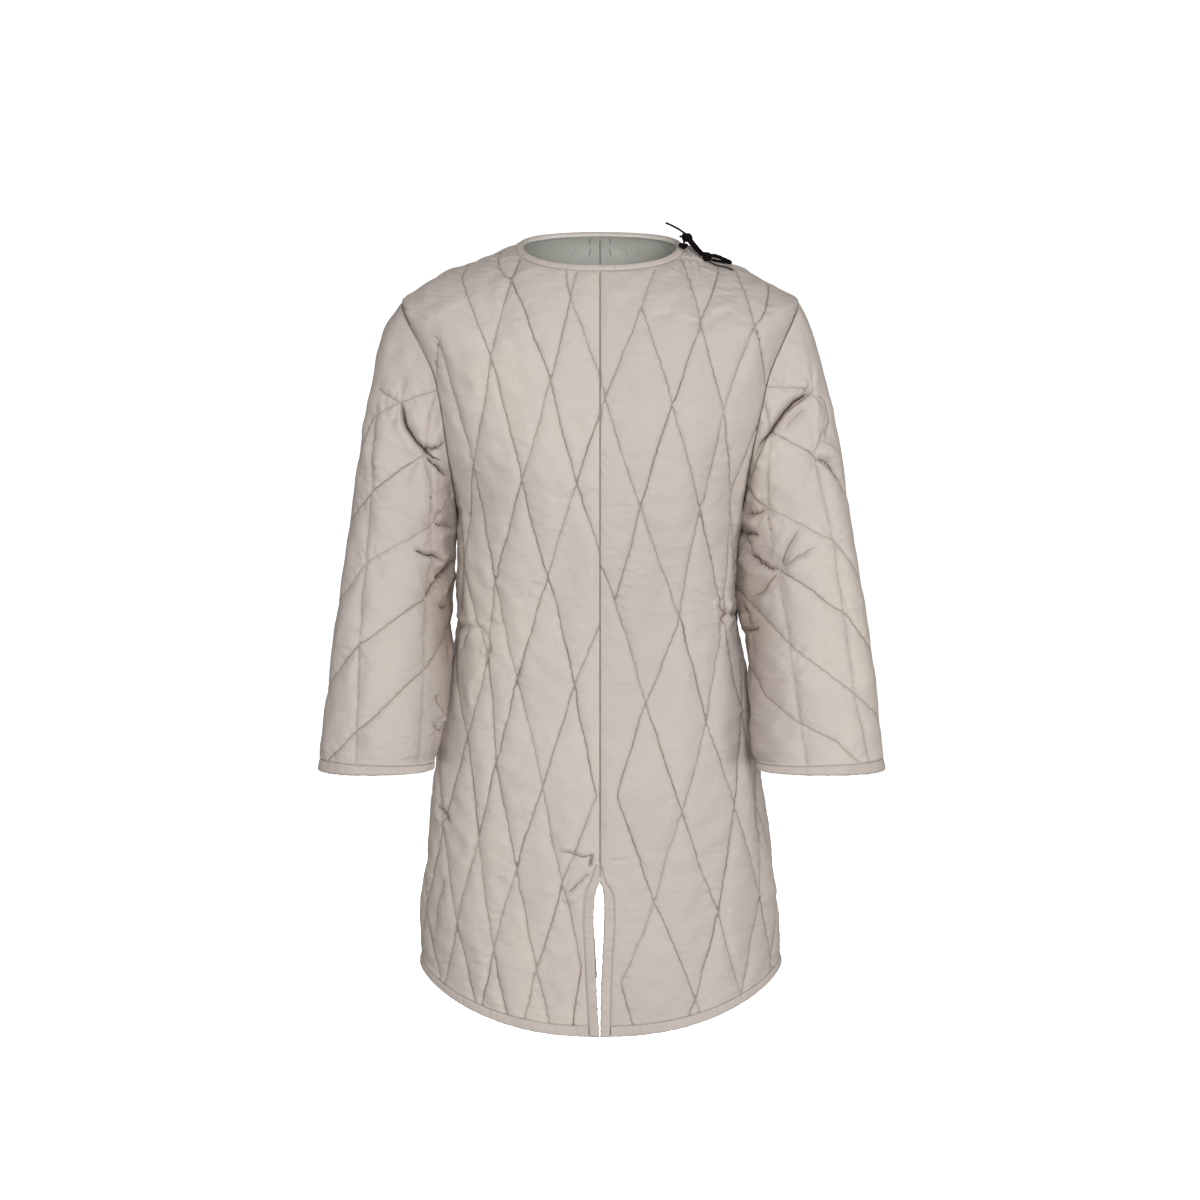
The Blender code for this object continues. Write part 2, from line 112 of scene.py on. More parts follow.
# The sleeves, by share of their length: the outer and the inner line's height and distance from the
# middle, how far the sleeve hangs forward, and half of its depth
SLEEVE_COLUMNS = ("along", "outer_z", "outer_right", "outer_left", "inner_z", "inner_right", "inner_left",
                  "forward", "half_depth")
SLEEVE = np.array([
    (0.00, -67, 245, 246, -331, 177, 177, 0, 69),
    (0.08, -110, 270, 264, -357, 180, 176.5, 2, 70),
    (0.20, -182, 285, 283, -393, 183, 175, 8, 69),
    (0.35, -268, 298, 299, -437, 185, 173.5, 21, 66),
    (0.50, -354, 310, 311, -482, 185, 179.5, 38, 64),
    (0.65, -438, 320, 325, -528, 185, 183.5, 58, 61),
    (0.80, -520, 330, 336, -573, 189, 186.5, 75, 58),
    (0.90, -577, 337, 341, -603, 196, 188.5, 85, 56),
    (1.00, -635, 343, 347, -635, 204, 193, 93, 53),
], dtype=float)
CUFF_SEAM = 0.978       # share of the length where the cuff's binding begins
CAP_BLEND = 0.30        # share of the length over which the armhole's shape turns into an oval

# Thickness and route of each lace, then middle and half size of each knot
LACES = {
    "lace_neck_tail": (2.6, [(105.0, -3.6, 16.6), (102, -5.4, 18.6), (97.5, -8, 21.4), (92.5, -11, 24.0),
                             (87.5, -13.5, 26.4), (82.5, -15.5, 28.4), (80.5, -16.2, 29.4)]),
    "lace_eyelet_strand": (2.6, [(104.7, -12.0, 9.0), (103.4, -14.8, 6.0), (102.8, -16.4, 4.0)]),
    "lace_strand_upper": (3.9, [(112.0, -9.8, 8.2), (115.4, -11.4, 4.0), (119.2, -13.4, -0.4),
                                (123.0, -16.6, -4.8), (127.8, -22.4, -9.5)]),
    "lace_strand_lower": (3.9, [(108.7, -12.3, 8.2), (111.6, -15.4, 3.6), (115.4, -18.2, -1.0),
                                (119.6, -21.2, -5.8), (125.7, -25.4, -11.0)]),
    "lace_bow_loop": (4.0, [(135.8, -22.9, -10.6), (140.5, -20.9, -11.2), (146.0, -19.0, -12.7),
                            (151.5, -17.4, -15.1), (157.0, -16.8, -17.4), (160.6, -18.6, -19.2),
                            (158.2, -22.2, -19.8), (152.5, -24.2, -19.0), (146.0, -25.6, -18.1),
                            (140.4, -27.0, -17.2), (136.8, -28.0, -16.4)]),
    "lace_outer_tail": (1.8, [(133.6, -30.6, -18.6), (138.5, -31.6, -21.6), (145.0, -30.4, -23.8),
                              (152.0, -29.0, -25.2), (158.0, -28.2, -27.0), (163.0, -28.0, -29.4)]),
}
KNOTS = {
    "lace_neck_knot": ((107.4, -7.0, 11.6), (6.2, 5.2, 5.2)),
    "lace_eyelet_knot": ((102.3, -18.5, 0.8), (5.4, 3.2, 3.4)),
    "lace_outer_knot": ((131.4, -26.8, -12.6), (5.4, 4.8, 5.2)),
}

# How much wider than its thickness each loose lace is on its way, and the lace's short cut end that shows
# at a knot
LACE_SWELL = {"lace_bow_loop": (1.0, 1.2, 1.25, 0.95, 0.85), "lace_strand_upper": (1.25, 1.2, 1.1, 1, 0.9),
              "lace_strand_lower": (1.15, 1.1, 1, 1, 0.9)}
STUBS = {"lace_neck_knot": [(106.0, -8.5, 11.6), (102.0, -10.0, 12.8), (97.6, -10.6, 12.6)]}
KNOT_SWELL = 1.14       # how much wider than its solid a knot is

SIDES = {"right": -1.0, "left": 1.0}
FACES = {"front": -1.0, "back": 1.0}

# ------------------------------------------------------------------ sizes of the look
CELL_ROWS = 388         # mesh rows up a panel, and columns across it; both even
CELL_COLUMNS = 124
RING_ROWS = 290         # rings along a sleeve, and points round it
RING_COLUMNS = 256
ARMHOLE_LEVELS = 420    # levels that the armhole's line is worked out at
ARMHOLE_POINTS = 200    # points round it that the lining leans towards
SEAM_REACH = 2.6        # edge points that lie this close belong to one seam
SINK = 2.4              # how far a stitch line lies below the plain wall
SEAM_SINK = 1.8         # the same for a seam between two pieces
LINING_RISE = 2.2       # puff on the lining side
THINNEST = 2.2          # least thickness where the cloth is stitched or folded in

# How a cloth is padded: puff of a diamond, how slowly it rises from its stitches, reach of the puckers
# beside them and unevenness
Puff = namedtuple("Puff", "rise soft pucker uneven")
BODY_PUFF = Puff(3.6, 8.0, 6.5, 1.0)
SLEEVE_PUFF = Puff(5.4, 11.0, 9.0, 1.5)
PADDING_PASSES = 110    # steps in which the padding finds its shape
PADDING_START = 0.6     # and the height that they start from, 1 being the full puff
SMALLEST_CELL = 0.8     # narrower cells count as this wide, which keeps the steps steady
WAVE_COUNT = 14         # plain waves that make up one irregular wave
PUCKER_WAVE, GATHER_WAVE = 13.0, 10.0   # lengths of the waves beside stitches and along edges
DRAPE_WAVE, SMALL_DRAPE_WAVE = 70.0, 34.0
CRINKLE_WAVE, CRINKLE_PATCH = 11.0, 60.0
PUCKER_HEIGHT, CRINKLE_HEIGHT, GATHER_HEIGHT = 0.75, 0.34, 0.6

# How far the wearer's left sleeve bulges towards the body, from armhole to cuff
INNER_PUFF = [(0, 2), (0.08, 5.2), (0.20, 6.2), (0.35, 5.0), (0.42, 1.5), (0.50, -2.5), (0.58, -1.0),
              (0.66, 2.6), (1, 2.6)]
OUTER_LINE = 1.0        # how far a sleeve's outer line stands off its plain shape
BACK_SLIT_EASE = 3.2    # how much further each side of the back slit hangs open
SLIT_RUN_OUT = 7.0      # height over which a slit's edges come together at its top
SLIT_NARROWING = {"right": (0.40, 26.0), "left": (0.06, 46.0)}  # least share of its band, over what height
FACING_STRIP = 13.0     # half width of the strip stitched inside the centre back
TONES = {"front_left": 0.6, "sleeve_right": 0.5, "back_left": 0.4}      # pieces of a slightly darker cloth
SLEEVE_SIZE = (480.0, 520.0)            # rough girth and length, which scale a sleeve's coordinates

PERIOD = 242.0          # height of a quilting diamond
STITCH_STEP = 0.7       # spacing of the points that a quilting line is measured from
BETWEEN_POINTS = 1.2    # how far along a line from its nearest point the nearest place may be
SHORTEST_LINE = 4       # a line of fewer points is left out
RUN_GAP = 50.0          # added where the distance along lines counts on from one to the next
ON_LINE = 0.25          # grid points this close to a line count as on it
SWAYS = [(0.36, 9.0, 100), (0.7, 55.0, 300)]    # a quilting line's waves: height, length and seed
BOW = 1.5               # how far a whole quilting line may bow to one side
SWAY_ENDS = 8.0         # length over which a line's waves die out at its ends
FACING = 0.40           # how squarely the cloth faces front for its lines to be straight in that view
LEAST_FORWARD = 0.25    # the same, at least, where a line is laid on the cloth in that view
THREAD_STRENGTH = 0.66  # how dark a quilting line is, on average
LENGTHWISE_LINES = 2    # lines along a sleeve, which are fainter than those across it
LENGTHWISE_THREAD, CROSSING_THREAD = 0.36, 0.9
SEAM_THREAD = 0.8       # how dark a seam between two pieces is
NO_STITCH = 30.0        # a distance that counts as far from any stitch

STRIP_STEP = 1.35       # spacing of the points along a binding
CUFF_STATIONS = 290     # points round a cuff's binding
NECK_STATIONS = 106     # points along a quarter of the neck's binding
NECK_LINED = 0.9        # how far the neck binding's inner half has the lining's colour
INSIDE_EDGE = 0.01      # keeps a line just inside the panel that it is laid on
# A binding's section, as (share of the way from the stitched line to the edge, height off the cloth)
STRIP_OUTSIDE = [(0.0, -1.1), (0.04, -0.4), (0.2, 0.6), (0.5, 1.1), (0.85, 1.3)]
STRIP_FOLD = 7          # points round the fold between them
STRIP_INSIDE = [(0.85, 1.4), (0.5, 1.4), (0.15, 1.0), (0.0, -0.3)]
LINING_TURN = 5         # points over which the colour turns to the lining's

LACE_SIDES = 14         # points round a lace
LACE_STEP = 0.45        # spacing of the points along it
BRAID_PITCH = 3.2       # length of one turn of the braid, in thicknesses
BRAID_RELIEF = 0.075    # height of its strands, in thicknesses
SWELL_PLACES = (0, 0.1, 0.4, 0.6, 1)    # shares of a lace's length that LACE_SWELL gives widths for
EVEN = (1, 1, 1, 1, 1)
KNOT_STATIONS = 170     # points along the lace of a knot
KNOTTED_LACE = 1.42     # thickness of a knot's lace, in halves of the knot's least width
TURNED_KNOTS = ("lace_eyelet_knot",)    # seen from its side
STUB_THICKNESS = 2.6

# Crossings of the quilting lines on the front panels, column by column from the centre seam: each is
# (distance along the cloth from the centre seam, level), level being the height at the centre seam
FRONT_CROSSINGS = {
    "right": [
        [(-8, -181), (-14, -420), (4, -665), (23, -871)],
        [(36, -63), (28, -287), (31, -531), (46, -771)],
        [(60, -165), (64, -399), (70, -655), (78, -879)],
        [(113, -55), (96, -287), (103, -523), (103, -757)],
        [(134, -147), (133, -407), (130, -627), (133, -865)],
        [(163, -277), (143, -497), (153, -723)],
        [(208, -150), (198, -385), (172, -597), (185, -843)],
        [(232, -270), (214, -490), (214, -715)],
        [(262, -370), (246, -600), (252, -840)],
        [(290, -480), (290, -720)],
    ],
    "left": [
        [(6, -185), (18, -429), (21, -665), (26, -893)],
        [(50, -77), (49, -315), (56, -553), (66, -795)],
        [(87, -197), (99, -449), (101, -685), (119, -927)],
        [(123, -105), (126, -319), (134, -579), (149, -819)],
        [(155, -219), (168, -455), (175, -685), (185, -945)],
        [(196, -125), (177, -307), (196, -570), (218, -815)],
        [(228, -225), (214, -440), (228, -690), (246, -930)],
        [(246, -330), (256, -570), (280, -815)],
        [(284, -440), (290, -690), (312, -930)],
    ],
}
# The lines that run from the topmost crossings to the neck, the shoulder and the centre seam
END_LINES = {
    "right": [[(36, -63), (42, -31)], [(36, -63), (28, -31)], [(113, -55), (112, -29)],
              [(113, -55), (161, -43)], [(134, -147), (191, -75)],
              [(161, -43), (171, -42.5)], [(191, -75), (211, -63.5)]],
    "left": [[(50, -77), (68, -35)], [(123, -105), (166, -61)], [(123, -105), (113, -45)],
             [(196, -125), (198, -75)], [(196, -125), (250, -97)],
             [(6, -185), (0, -148)], [(18, -429), (0, -385)], [(6, -185), (0, -214)],
             [(166, -61), (184, -50.5)], [(198, -75), (211, -63.5)], [(250, -97), (261.5, -93.5)],
             [(113, -45), (112, -31.5)]],
}
# The back's diamonds: columns and rows of crossings, their spacing, their height and the top level
BACK_COLUMNS, BACK_ROWS = 10, 4
BACK_SPACING, BACK_PERIOD, BACK_START = 36.0, 240.0, -205.0
BACK_SHOULDER = (280.0, -125.0)         # above this level no line goes this far out

# Quilting lines on the front half of each sleeve, as (share of the sleeve's length, share of the way
# round from the outer line); the back half has the same lines the other way round. The first two of
# each sleeve run along it.
SLEEVE_LINES = {
    "right": [
        [(0.0, 0.225), (0.04, 0.235), (0.106, 0.268), (0.135, 0.318), (0.20, 0.340), (0.317, 0.347),
         (0.432, 0.340), (0.663, 0.348), (0.874, 0.368), (1.0, 0.388)],
        [(0.195, 0.092), (0.281, 0.122), (0.342, 0.142), (0.503, 0.155), (0.693, 0.168), (0.894, 0.192),
         (1.0, 0.204)],
        [(0.0, 0.222), (0.121, 0.158), (0.221, 0.085), (0.312, 0.030), (0.345, 0.0)],
        [(0.158, 0.080), (0.121, 0.158), (0.141, 0.195), (0.106, 0.268)],
        [(0.0, 0.32), (0.106, 0.268), (0.342, 0.142), (0.462, 0.035), (0.494, 0.0)],
        [(0.0, 0.425), (0.20, 0.340), (0.503, 0.155), (0.628, 0.040), (0.659, 0.0)],
        [(0.20, 0.470), (0.337, 0.376), (0.432, 0.340), (0.693, 0.168), (0.799, 0.068), (0.846, 0.0)],
        [(0.43, 0.50), (0.492, 0.455), (0.663, 0.348), (0.829, 0.248), (0.97, 0.105), (1.0, 0.075)],
    ],
    "left": [
        [(0.0, 0.245), (0.07, 0.252), (0.176, 0.320), (0.382, 0.300), (0.608, 0.300), (0.849, 0.292),
         (1.0, 0.286)],
        [(0.151, 0.100), (0.20, 0.078), (0.235, 0.105), (0.246, 0.160), (0.467, 0.138), (0.633, 0.145),
         (0.819, 0.150), (1.0, 0.112)],
        [(0.07, 0.252), (0.246, 0.160), (0.342, 0.092), (0.412, 0.015), (0.425, 0.0)],
        [(0.0, 0.415), (0.176, 0.320), (0.467, 0.138), (0.568, 0.055), (0.615, 0.0)],
        [(0.05, 0.498), (0.236, 0.388), (0.382, 0.300), (0.633, 0.145), (0.729, 0.058), (0.782, 0.0)],
        [(0.30, 0.50), (0.382, 0.408), (0.608, 0.300), (0.819, 0.150), (0.884, 0.042), (0.917, 0.0)],
        [(0.603, 0.485), (0.734, 0.390), (0.849, 0.292), (0.92, 0.212), (1.0, 0.115)],
        [(0.151, 0.100), (0.101, 0.195), (0.07, 0.252), (0.0, 0.395)],
        [(0.0, 0.215), (0.09, 0.15), (0.151, 0.100)],
    ],
}

# Points where the padding is pinched and wrinkles run out: (place on the piece, reach, strength), the
# last two in mm
PINCHES = {
    "sleeve_right": [((0.121, 0.158), 16, 1.6), ((0.106, 0.268), 26, 2.6), ((0.20, 0.340), 20, 1.5),
                     ((0.342, 0.142), 16, 0.9), ((0.432, 0.340), 24, 1.8), ((0.503, 0.155), 16, 0.9),
                     ((0.663, 0.348), 15, 0.8), ((0.693, 0.168), 15, 0.8), ((0.82, 0.43), 20, 1.6)],
    "sleeve_left": [((0.151, 0.100), 18, 2.8), ((0.07, 0.252), 28, 2.3), ((0.246, 0.160), 26, 2.2),
                    ((0.176, 0.320), 24, 2.0), ((0.382, 0.300), 30, 2.4), ((0.467, 0.138), 17, 1.3),
                    ((0.608, 0.300), 15, 1.0), ((0.633, 0.145), 19, 1.5), ((0.849, 0.292), 15, 0.9),
                    ((0.46, 0.42), 22, 1.6)],
    "front_right": [((130, -627), 14, 0.8), ((103, -523), 12, 0.7), ((163, -277), 14, 0.7),
                    ((31, -531), 10, 0.6), ((60, -165), 12, 0.6), ((28, -287), 10, 0.5),
                    ((96, -287), 10, 0.5), ((64, -399), 10, 0.6), ((141, -495), 16, 1.0),
                    ((12, -745), 16, 1.2), ((46, -784), 16, 0.9), ((36, -63), 12, 0.5),
                    ((134, -147), 12, 0.5), ((113, -55), 14, 0.5)],
    "front_left": [((168, -455), 20, 1.6), ((99, -449), 12, 0.8), ((123, -105), 18, 0.9),
                   ((18, -429), 12, 0.7), ((49, -315), 12, 0.6), ((126, -319), 10, 0.6),
                   ((134, -579), 10, 0.6), ((87, -197), 10, 0.5), ((26, -893), 12, 0.7),
                   ((196, -125), 16, 0.9), ((50, -77), 12, 0.6), ((118, -34), 20, 1.6)],
    "back_right": [((150, -455), 22, 1.2), ((60, -440), 12, 0.6), ((120, -210), 14, 0.6)],
    "back_left": [((160, -450), 20, 1.1), ((80, -520), 12, 0.6), ((90, -230), 14, 0.6)],
}

# Folds: (route on the piece, half width, height), troughs being negative
FOLDS = {
    "front_right": [
        ([(143, -464), (158, -466), (182, -468), (215, -464), (240, -452)], 4.0, -2.35),
        ([(150, -457), (185, -459), (220, -454), (240, -444)], 5.0, 1.8),
        ([(160, -474), (190, -478), (234, -480)], 6.0, 1.6),
        ([(176, -468), (186, -484), (196, -500)], 3.6, -2.2),
        ([(196, -466), (206, -486), (208, -506)], 3.6, -1.8),
        ([(66, -408), (84, -414), (92, -424), (122, -426)], 3.6, -2.0),
        ([(118, -462), (140, -458), (156, -462)], 3.6, -1.8),
        ([(159, -465), (148, -475), (142, -485)], 3.0, -2.4),
        ([(144, -479), (139, -489), (146, -497), (139, -513)], 3.0, -3.0),
        ([(152, -484), (149, -496), (150, -508)], 3.6, 2.0),
        ([(103, -511), (99, -519), (104, -529), (98, -537)], 3.0, -2.6),
        ([(8, -735), (18, -738), (27, -737), (39, -733), (52, -733)], 2.4, -3.6),
        ([(48, -727), (28, -730), (12, -730)], 4.0, 2.2),
        ([(12, -757), (20, -765), (30, -774), (39, -782), (48, -784)], 2.4, -3.8),
        ([(46, -792), (34, -788), (20, -777)], 5.0, 2.4),
        ([(13, -752), (12, -742), (7, -733), (2, -730)], 2.2, -3.4),
        ([(9, -748), (7, -740), (2, -735)], 2.4, 2.6),
        ([(7, -738), (10, -745), (6, -750)], 1.8, -2.5),
        ([(233, -691), (210, -701), (193, -713)], 4.5, -4.4),
        ([(233, -702), (212, -712), (196, -724)], 6.0, 2.6),
        ([(146, -510), (170, -540), (160, -580)], 6.0, 1.8),
        ([(92, -100), (104, -104), (118, -98)], 4.0, 1.2),
        ([(14, -300), (40, -304), (66, -299)], 4.5, -1.1),
        ([(30, -112), (58, -118), (88, -110)], 5.0, -1.2),
        ([(66, -236), (92, -240), (122, -232)], 5.0, 1.2),
        ([(208, -780), (220, -840), (226, -900)], 9.0, -3.0),
    ],
    "front_left": [
        ([(173, -427), (162, -439), (172, -449), (160, -461), (169, -477)], 3.0, -4.4),
        ([(182, -432), (176, -446), (180, -460), (176, -474)], 4.5, 2.8),
        ([(150, -430), (152, -446), (150, -462)], 5.0, 2.2),
        ([(150, -436), (163, -448)], 3.4, -2.2),
        ([(172, -449), (196, -452), (224, -458)], 4.0, -2.6),
        ([(11, -743), (26, -743), (41, -739)], 3.0, -1.8),
        ([(25, -889), (39, -887)], 2.8, -1.8),
        ([(128, -111), (143, -107), (151, -111)], 4.0, -1.6),
        ([(138, -103), (160, -103), (176, -103)], 4.0, -1.6),
        ([(134, -96), (158, -95), (178, -96)], 5.0, 1.6),
        ([(62, -91), (82, -87), (92, -87)], 4.0, -1.3),
        ([(98, -206), (118, -200), (140, -203)], 4.5, -1.3),
        ([(114, -31), (108, -41), (107, -53)], 3.0, -2.0),
        ([(121, -31), (115, -43), (113, -55)], 3.4, 2.2),
        ([(129, -35), (122, -47), (119, -60)], 3.0, -2.0),
        ([(136, -37), (129, -50), (125, -62)], 3.4, 2.0),
        ([(142, -43), (133, -55), (128, -66)], 3.0, -1.8),
        ([(230, -640), (226, -700), (232, -760)], 9.0, -4.4),
        ([(20, -250), (44, -256), (74, -250)], 5.0, -1.1),
        ([(60, -380), (84, -386), (116, -380)], 5.0, 1.2),
    ],
    "back_right": [
        ([(120, -470), (170, -466), (228, -470)], 4.4, -4.2),
        ([(130, -458), (175, -455), (228, -459)], 6.0, 2.8),
        ([(120, -482), (175, -480), (228, -484)], 6.5, 2.6),
        ([(60, -438), (84, -446), (108, -462)], 4.0, -2.0),
        ([(20, -132), (60, -140), (104, -128)], 7.0, -1.6),
        ([(150, -230), (176, -246), (196, -276)], 6.0, -2.6),
    ],
    "back_left": [
        ([(128, -462), (176, -468), (224, -464)], 4.4, -4.0),
        ([(136, -450), (178, -456), (222, -452)], 6.0, 2.8),
        ([(24, -148), (70, -150), (116, -140)], 7.0, -1.6),
        ([(154, -224), (180, -242), (200, -270)], 6.0, -2.6),
        ([(230, -650), (224, -700), (230, -760)], 9.0, -3.6),
    ],
    "sleeve_right": [
        ([(0.118, 0.158), (0.136, 0.185), (0.131, 0.215), (0.101, 0.265), (0.068, 0.305), (0.020, 0.348)],
         3.4, -7.5),
        ([(0.153, 0.165), (0.155, 0.205), (0.124, 0.262)], 6.0, 3.8),
        ([(0.106, 0.185), (0.102, 0.220), (0.076, 0.262)], 6.0, 3.2),
        ([(0.108, 0.258), (0.082, 0.276), (0.050, 0.300), (0.015, 0.322)], 2.8, -5.0),
        ([(0.108, 0.272), (0.082, 0.306), (0.050, 0.346), (0.010, 0.392)], 3.2, -6.0),
        ([(0.085, 0.270), (0.045, 0.296), (0.015, 0.326)], 4.0, 3.5),
        ([(0.095, 0.279), (0.068, 0.304), (0.028, 0.343)], 2.6, 3.2),
        ([(0.085, 0.302), (0.121, 0.325), (0.171, 0.345)], 5.5, 2.8),
        ([(0.397, 0.148), (0.307, 0.240), (0.196, 0.332)], 4.5, -1.8),
        ([(0.181, 0.350), (0.131, 0.402), (0.060, 0.482)], 3.6, -4.6),
        ([(0.195, 0.375), (0.125, 0.430), (0.080, 0.480)], 6.0, 2.8),
        ([(0.141, 0.360), (0.070, 0.398), (0.010, 0.435)], 6.5, 3.2),
        ([(0.337, 0.286), (0.296, 0.328), (0.256, 0.368), (0.228, 0.418)], 3.2, -6.0),
        ([(0.322, 0.322), (0.286, 0.360), (0.256, 0.408)], 5.5, 4.4),
        ([(0.271, 0.332), (0.231, 0.372), (0.196, 0.420)], 6.5, 3.2),
        ([(0.337, 0.372), (0.271, 0.412), (0.176, 0.498)], 3.6, -9.0),
        ([(0.318, 0.350), (0.248, 0.390), (0.160, 0.462)], 5.5, 4.4),
        ([(0.355, 0.398), (0.288, 0.443), (0.215, 0.498)], 5.0, 4.2),
        ([(0.337, 0.375), (0.387, 0.355), (0.432, 0.340)], 3.2, -5.0),
        ([(0.392, 0.375), (0.355, 0.402), (0.340, 0.435)], 7.5, 5.2),
        ([(0.407, 0.388), (0.400, 0.415), (0.370, 0.452)], 3.4, -5.0),
        ([(0.412, 0.435), (0.508, 0.462), (0.613, 0.455)], 4.5, -4.0),
        ([(0.720, 0.400), (0.770, 0.428), (0.790, 0.480)], 4.0, -3.6),
        ([(0.760, 0.400), (0.800, 0.440), (0.820, 0.490)], 5.0, 3.4),
        ([(0.829, 0.400), (0.850, 0.440), (0.860, 0.490)], 4.0, -3.2),
    ],
    "sleeve_left": [
        ([(0.149, 0.102), (0.116, 0.158), (0.095, 0.202), (0.070, 0.251), (0.035, 0.298), (0.004, 0.350)],
         3.8, -8.5),
        ([(0.126, 0.108), (0.088, 0.162), (0.058, 0.215)], 6.5, 4.2),
        ([(0.154, 0.138), (0.134, 0.182), (0.114, 0.228)], 9.0, -2.8),
        ([(0.097, 0.264), (0.067, 0.307), (0.052, 0.345)], 7.0, 3.4),
        ([(0.161, 0.095), (0.201, 0.064), (0.236, 0.074), (0.251, 0.112), (0.251, 0.148)], 4.0, -2.8),
        ([(0.175, 0.110), (0.205, 0.088), (0.232, 0.105), (0.236, 0.135)], 6.0, 2.0),
        ([(0.256, 0.160), (0.322, 0.102), (0.372, 0.068), (0.412, 0.030)], 3.4, -5.5),
        ([(0.244, 0.140), (0.306, 0.086), (0.360, 0.033)], 6.5, 3.8),
        ([(0.065, 0.278), (0.111, 0.290), (0.176, 0.308)], 5.0, 2.6),
        ([(0.176, 0.322), (0.121, 0.382), (0.045, 0.446)], 5.0, -5.2),
        ([(0.032, 0.416), (0.096, 0.368), (0.148, 0.323)], 7.0, 3.4),
        ([(0.210, 0.352), (0.151, 0.405), (0.075, 0.486)], 4.5, -5.4),
        ([(0.073, 0.443), (0.136, 0.390), (0.188, 0.342)], 6.0, 3.4),
        ([(0.380, 0.303), (0.350, 0.322), (0.281, 0.360), (0.160, 0.440)], 3.4, -5.8),
        ([(0.178, 0.460), (0.278, 0.394), (0.357, 0.338)], 8.0, 4.2),
        ([(0.379, 0.297), (0.352, 0.268), (0.345, 0.222)], 7.0, -3.8),
        ([(0.326, 0.310), (0.314, 0.286), (0.300, 0.258)], 7.0, 4.0),
        ([(0.383, 0.294), (0.410, 0.245), (0.442, 0.182)], 7.0, -3.0),
        ([(0.402, 0.287), (0.437, 0.237), (0.465, 0.187)], 7.0, 3.2),
        ([(0.385, 0.304), (0.390, 0.350), (0.372, 0.405)], 9.0, -4.2),
        ([(0.427, 0.308), (0.425, 0.338), (0.418, 0.382)], 8.0, 4.0),
        ([(0.372, 0.448), (0.427, 0.422), (0.472, 0.440)], 4.0, -4.0),
        ([(0.495, 0.380), (0.482, 0.415), (0.465, 0.475)], 4.0, -4.6),
        ([(0.400, 0.440), (0.440, 0.455), (0.452, 0.470)], 6.0, 3.4),
        ([(0.247, 0.162), (0.240, 0.200), (0.228, 0.232)], 4.5, -2.3),
        ([(0.250, 0.160), (0.266, 0.190), (0.290, 0.226)], 4.5, -2.3),
        ([(0.252, 0.156), (0.300, 0.150), (0.350, 0.140)], 4.5, -2.3),
        ([(0.467, 0.138), (0.447, 0.140), (0.420, 0.143)], 3.0, -2.0),
        ([(0.633, 0.145), (0.603, 0.140), (0.580, 0.130)], 3.0, -2.2),
        ([(0.508, 0.470), (0.600, 0.480), (0.700, 0.470)], 5.0, -3.6),
    ],
}
SHARP = -2.4            # folds deeper than this are pressed into a sharp crease, with a painted shadow along its bottom
FULL_CREASE = 6.0       # depth of a fold whose painted crease shade is as dark as any
HIDDEN_SIDE = 0.75      # strength of a sleeve's folds on its back half, where they are repeated
FOLD_START, FOLD_END = 7.0, 2.4         # how quickly a fold rises at its start and dies out at its end

# The points of many lines: places, directions, distances along them, strengths and line numbers
Lines = namedtuple("Lines", "places ways runs strengths numbers")
# A piece's points: levels, distances from a binding and from any seam, and which are sewn down
Sewn = namedtuple("Sewn", "levels band seam covered rim")


# ------------------------------------------------------------------ curves and surfaces
def cubic(f, h, start, end, slope_in, slope_out):
    """Cubic between two values with given slopes; f is the share of the way and h its length."""
    return ((1 + 2 * f) * (1 - f) ** 2 * start + f * (1 - f) ** 2 * h * slope_in
            + f * f * (3 - 2 * f) * end + f * f * (f - 1) * h * slope_out)


def smooth_curve(at, values):
    """Monotone cubic through a table's column, as a function."""
    at, values = np.asarray(at, float), np.asarray(values, float)
    step = np.diff(at)
    rise = np.diff(values) / step
    slope = np.zeros(len(at))
    slope[0], slope[-1] = rise[0], rise[-1]
    for k in range(1, len(at) - 1):
        if rise[k - 1] * rise[k] > 0:
            before, after = 2 * step[k] + step[k - 1], step[k] + 2 * step[k - 1]
            slope[k] = (before + after) / (before / rise[k - 1] + after / rise[k])

    def value(x):
        k = np.clip(np.searchsorted(at, x) - 1, 0, len(step) - 1)
        f = np.clip((x - at[k]) / step[k], 0, 1)
        return cubic(f, step[k], values[k], values[k + 1], slope[k], slope[k + 1])

    return value


def table_curves(table, columns):
    """A smooth curve for each column of a table, by the value in its first column."""
    order = np.argsort(table[:, 0])
    return {name: smooth_curve(table[order, 0], table[order, k]) for k, name in enumerate(columns)}


BODY = table_curves(LEVELS, LEVEL_COLUMNS)
SLIT_EDGE = table_curves(SLIT, SLIT_COLUMNS)
ARM = table_curves(SLEEVE, SLEEVE_COLUMNS)


def lengths_along(points):
    """Distance along a chain of points, from 0 at the first."""
    return np.r_[0, np.cumsum(np.linalg.norm(np.diff(points, axis=0), axis=1))]


def resample(points, stations):
    """The places on a chain of points at given distances along it."""
    lengths = lengths_along(points)
    return np.stack([np.interp(stations, lengths, points[:, k]) for k in range(points.shape[1])], axis=1)


def unit(vectors):
    return vectors / np.maximum(np.linalg.norm(vectors, axis=-1, keepdims=True), 1e-9)


def ease(x):
    """0 below 0, 1 above 1 and a smooth rise between."""
    x = np.clip(x, 0, 1)
    return x * x * (3 - 2 * x)


def sideways(way):
    """Directions along the cloth, a quarter turn from the given ones."""
    return np.stack([-way[:, 1], way[:, 0]], axis=1)


def search_tree(points):
    """A tree that finds the nearest of some points."""
    tree = KDTree(len(points))
    for k, point in enumerate(points):
        tree.insert(point, k)
    tree.balance()
    return tree


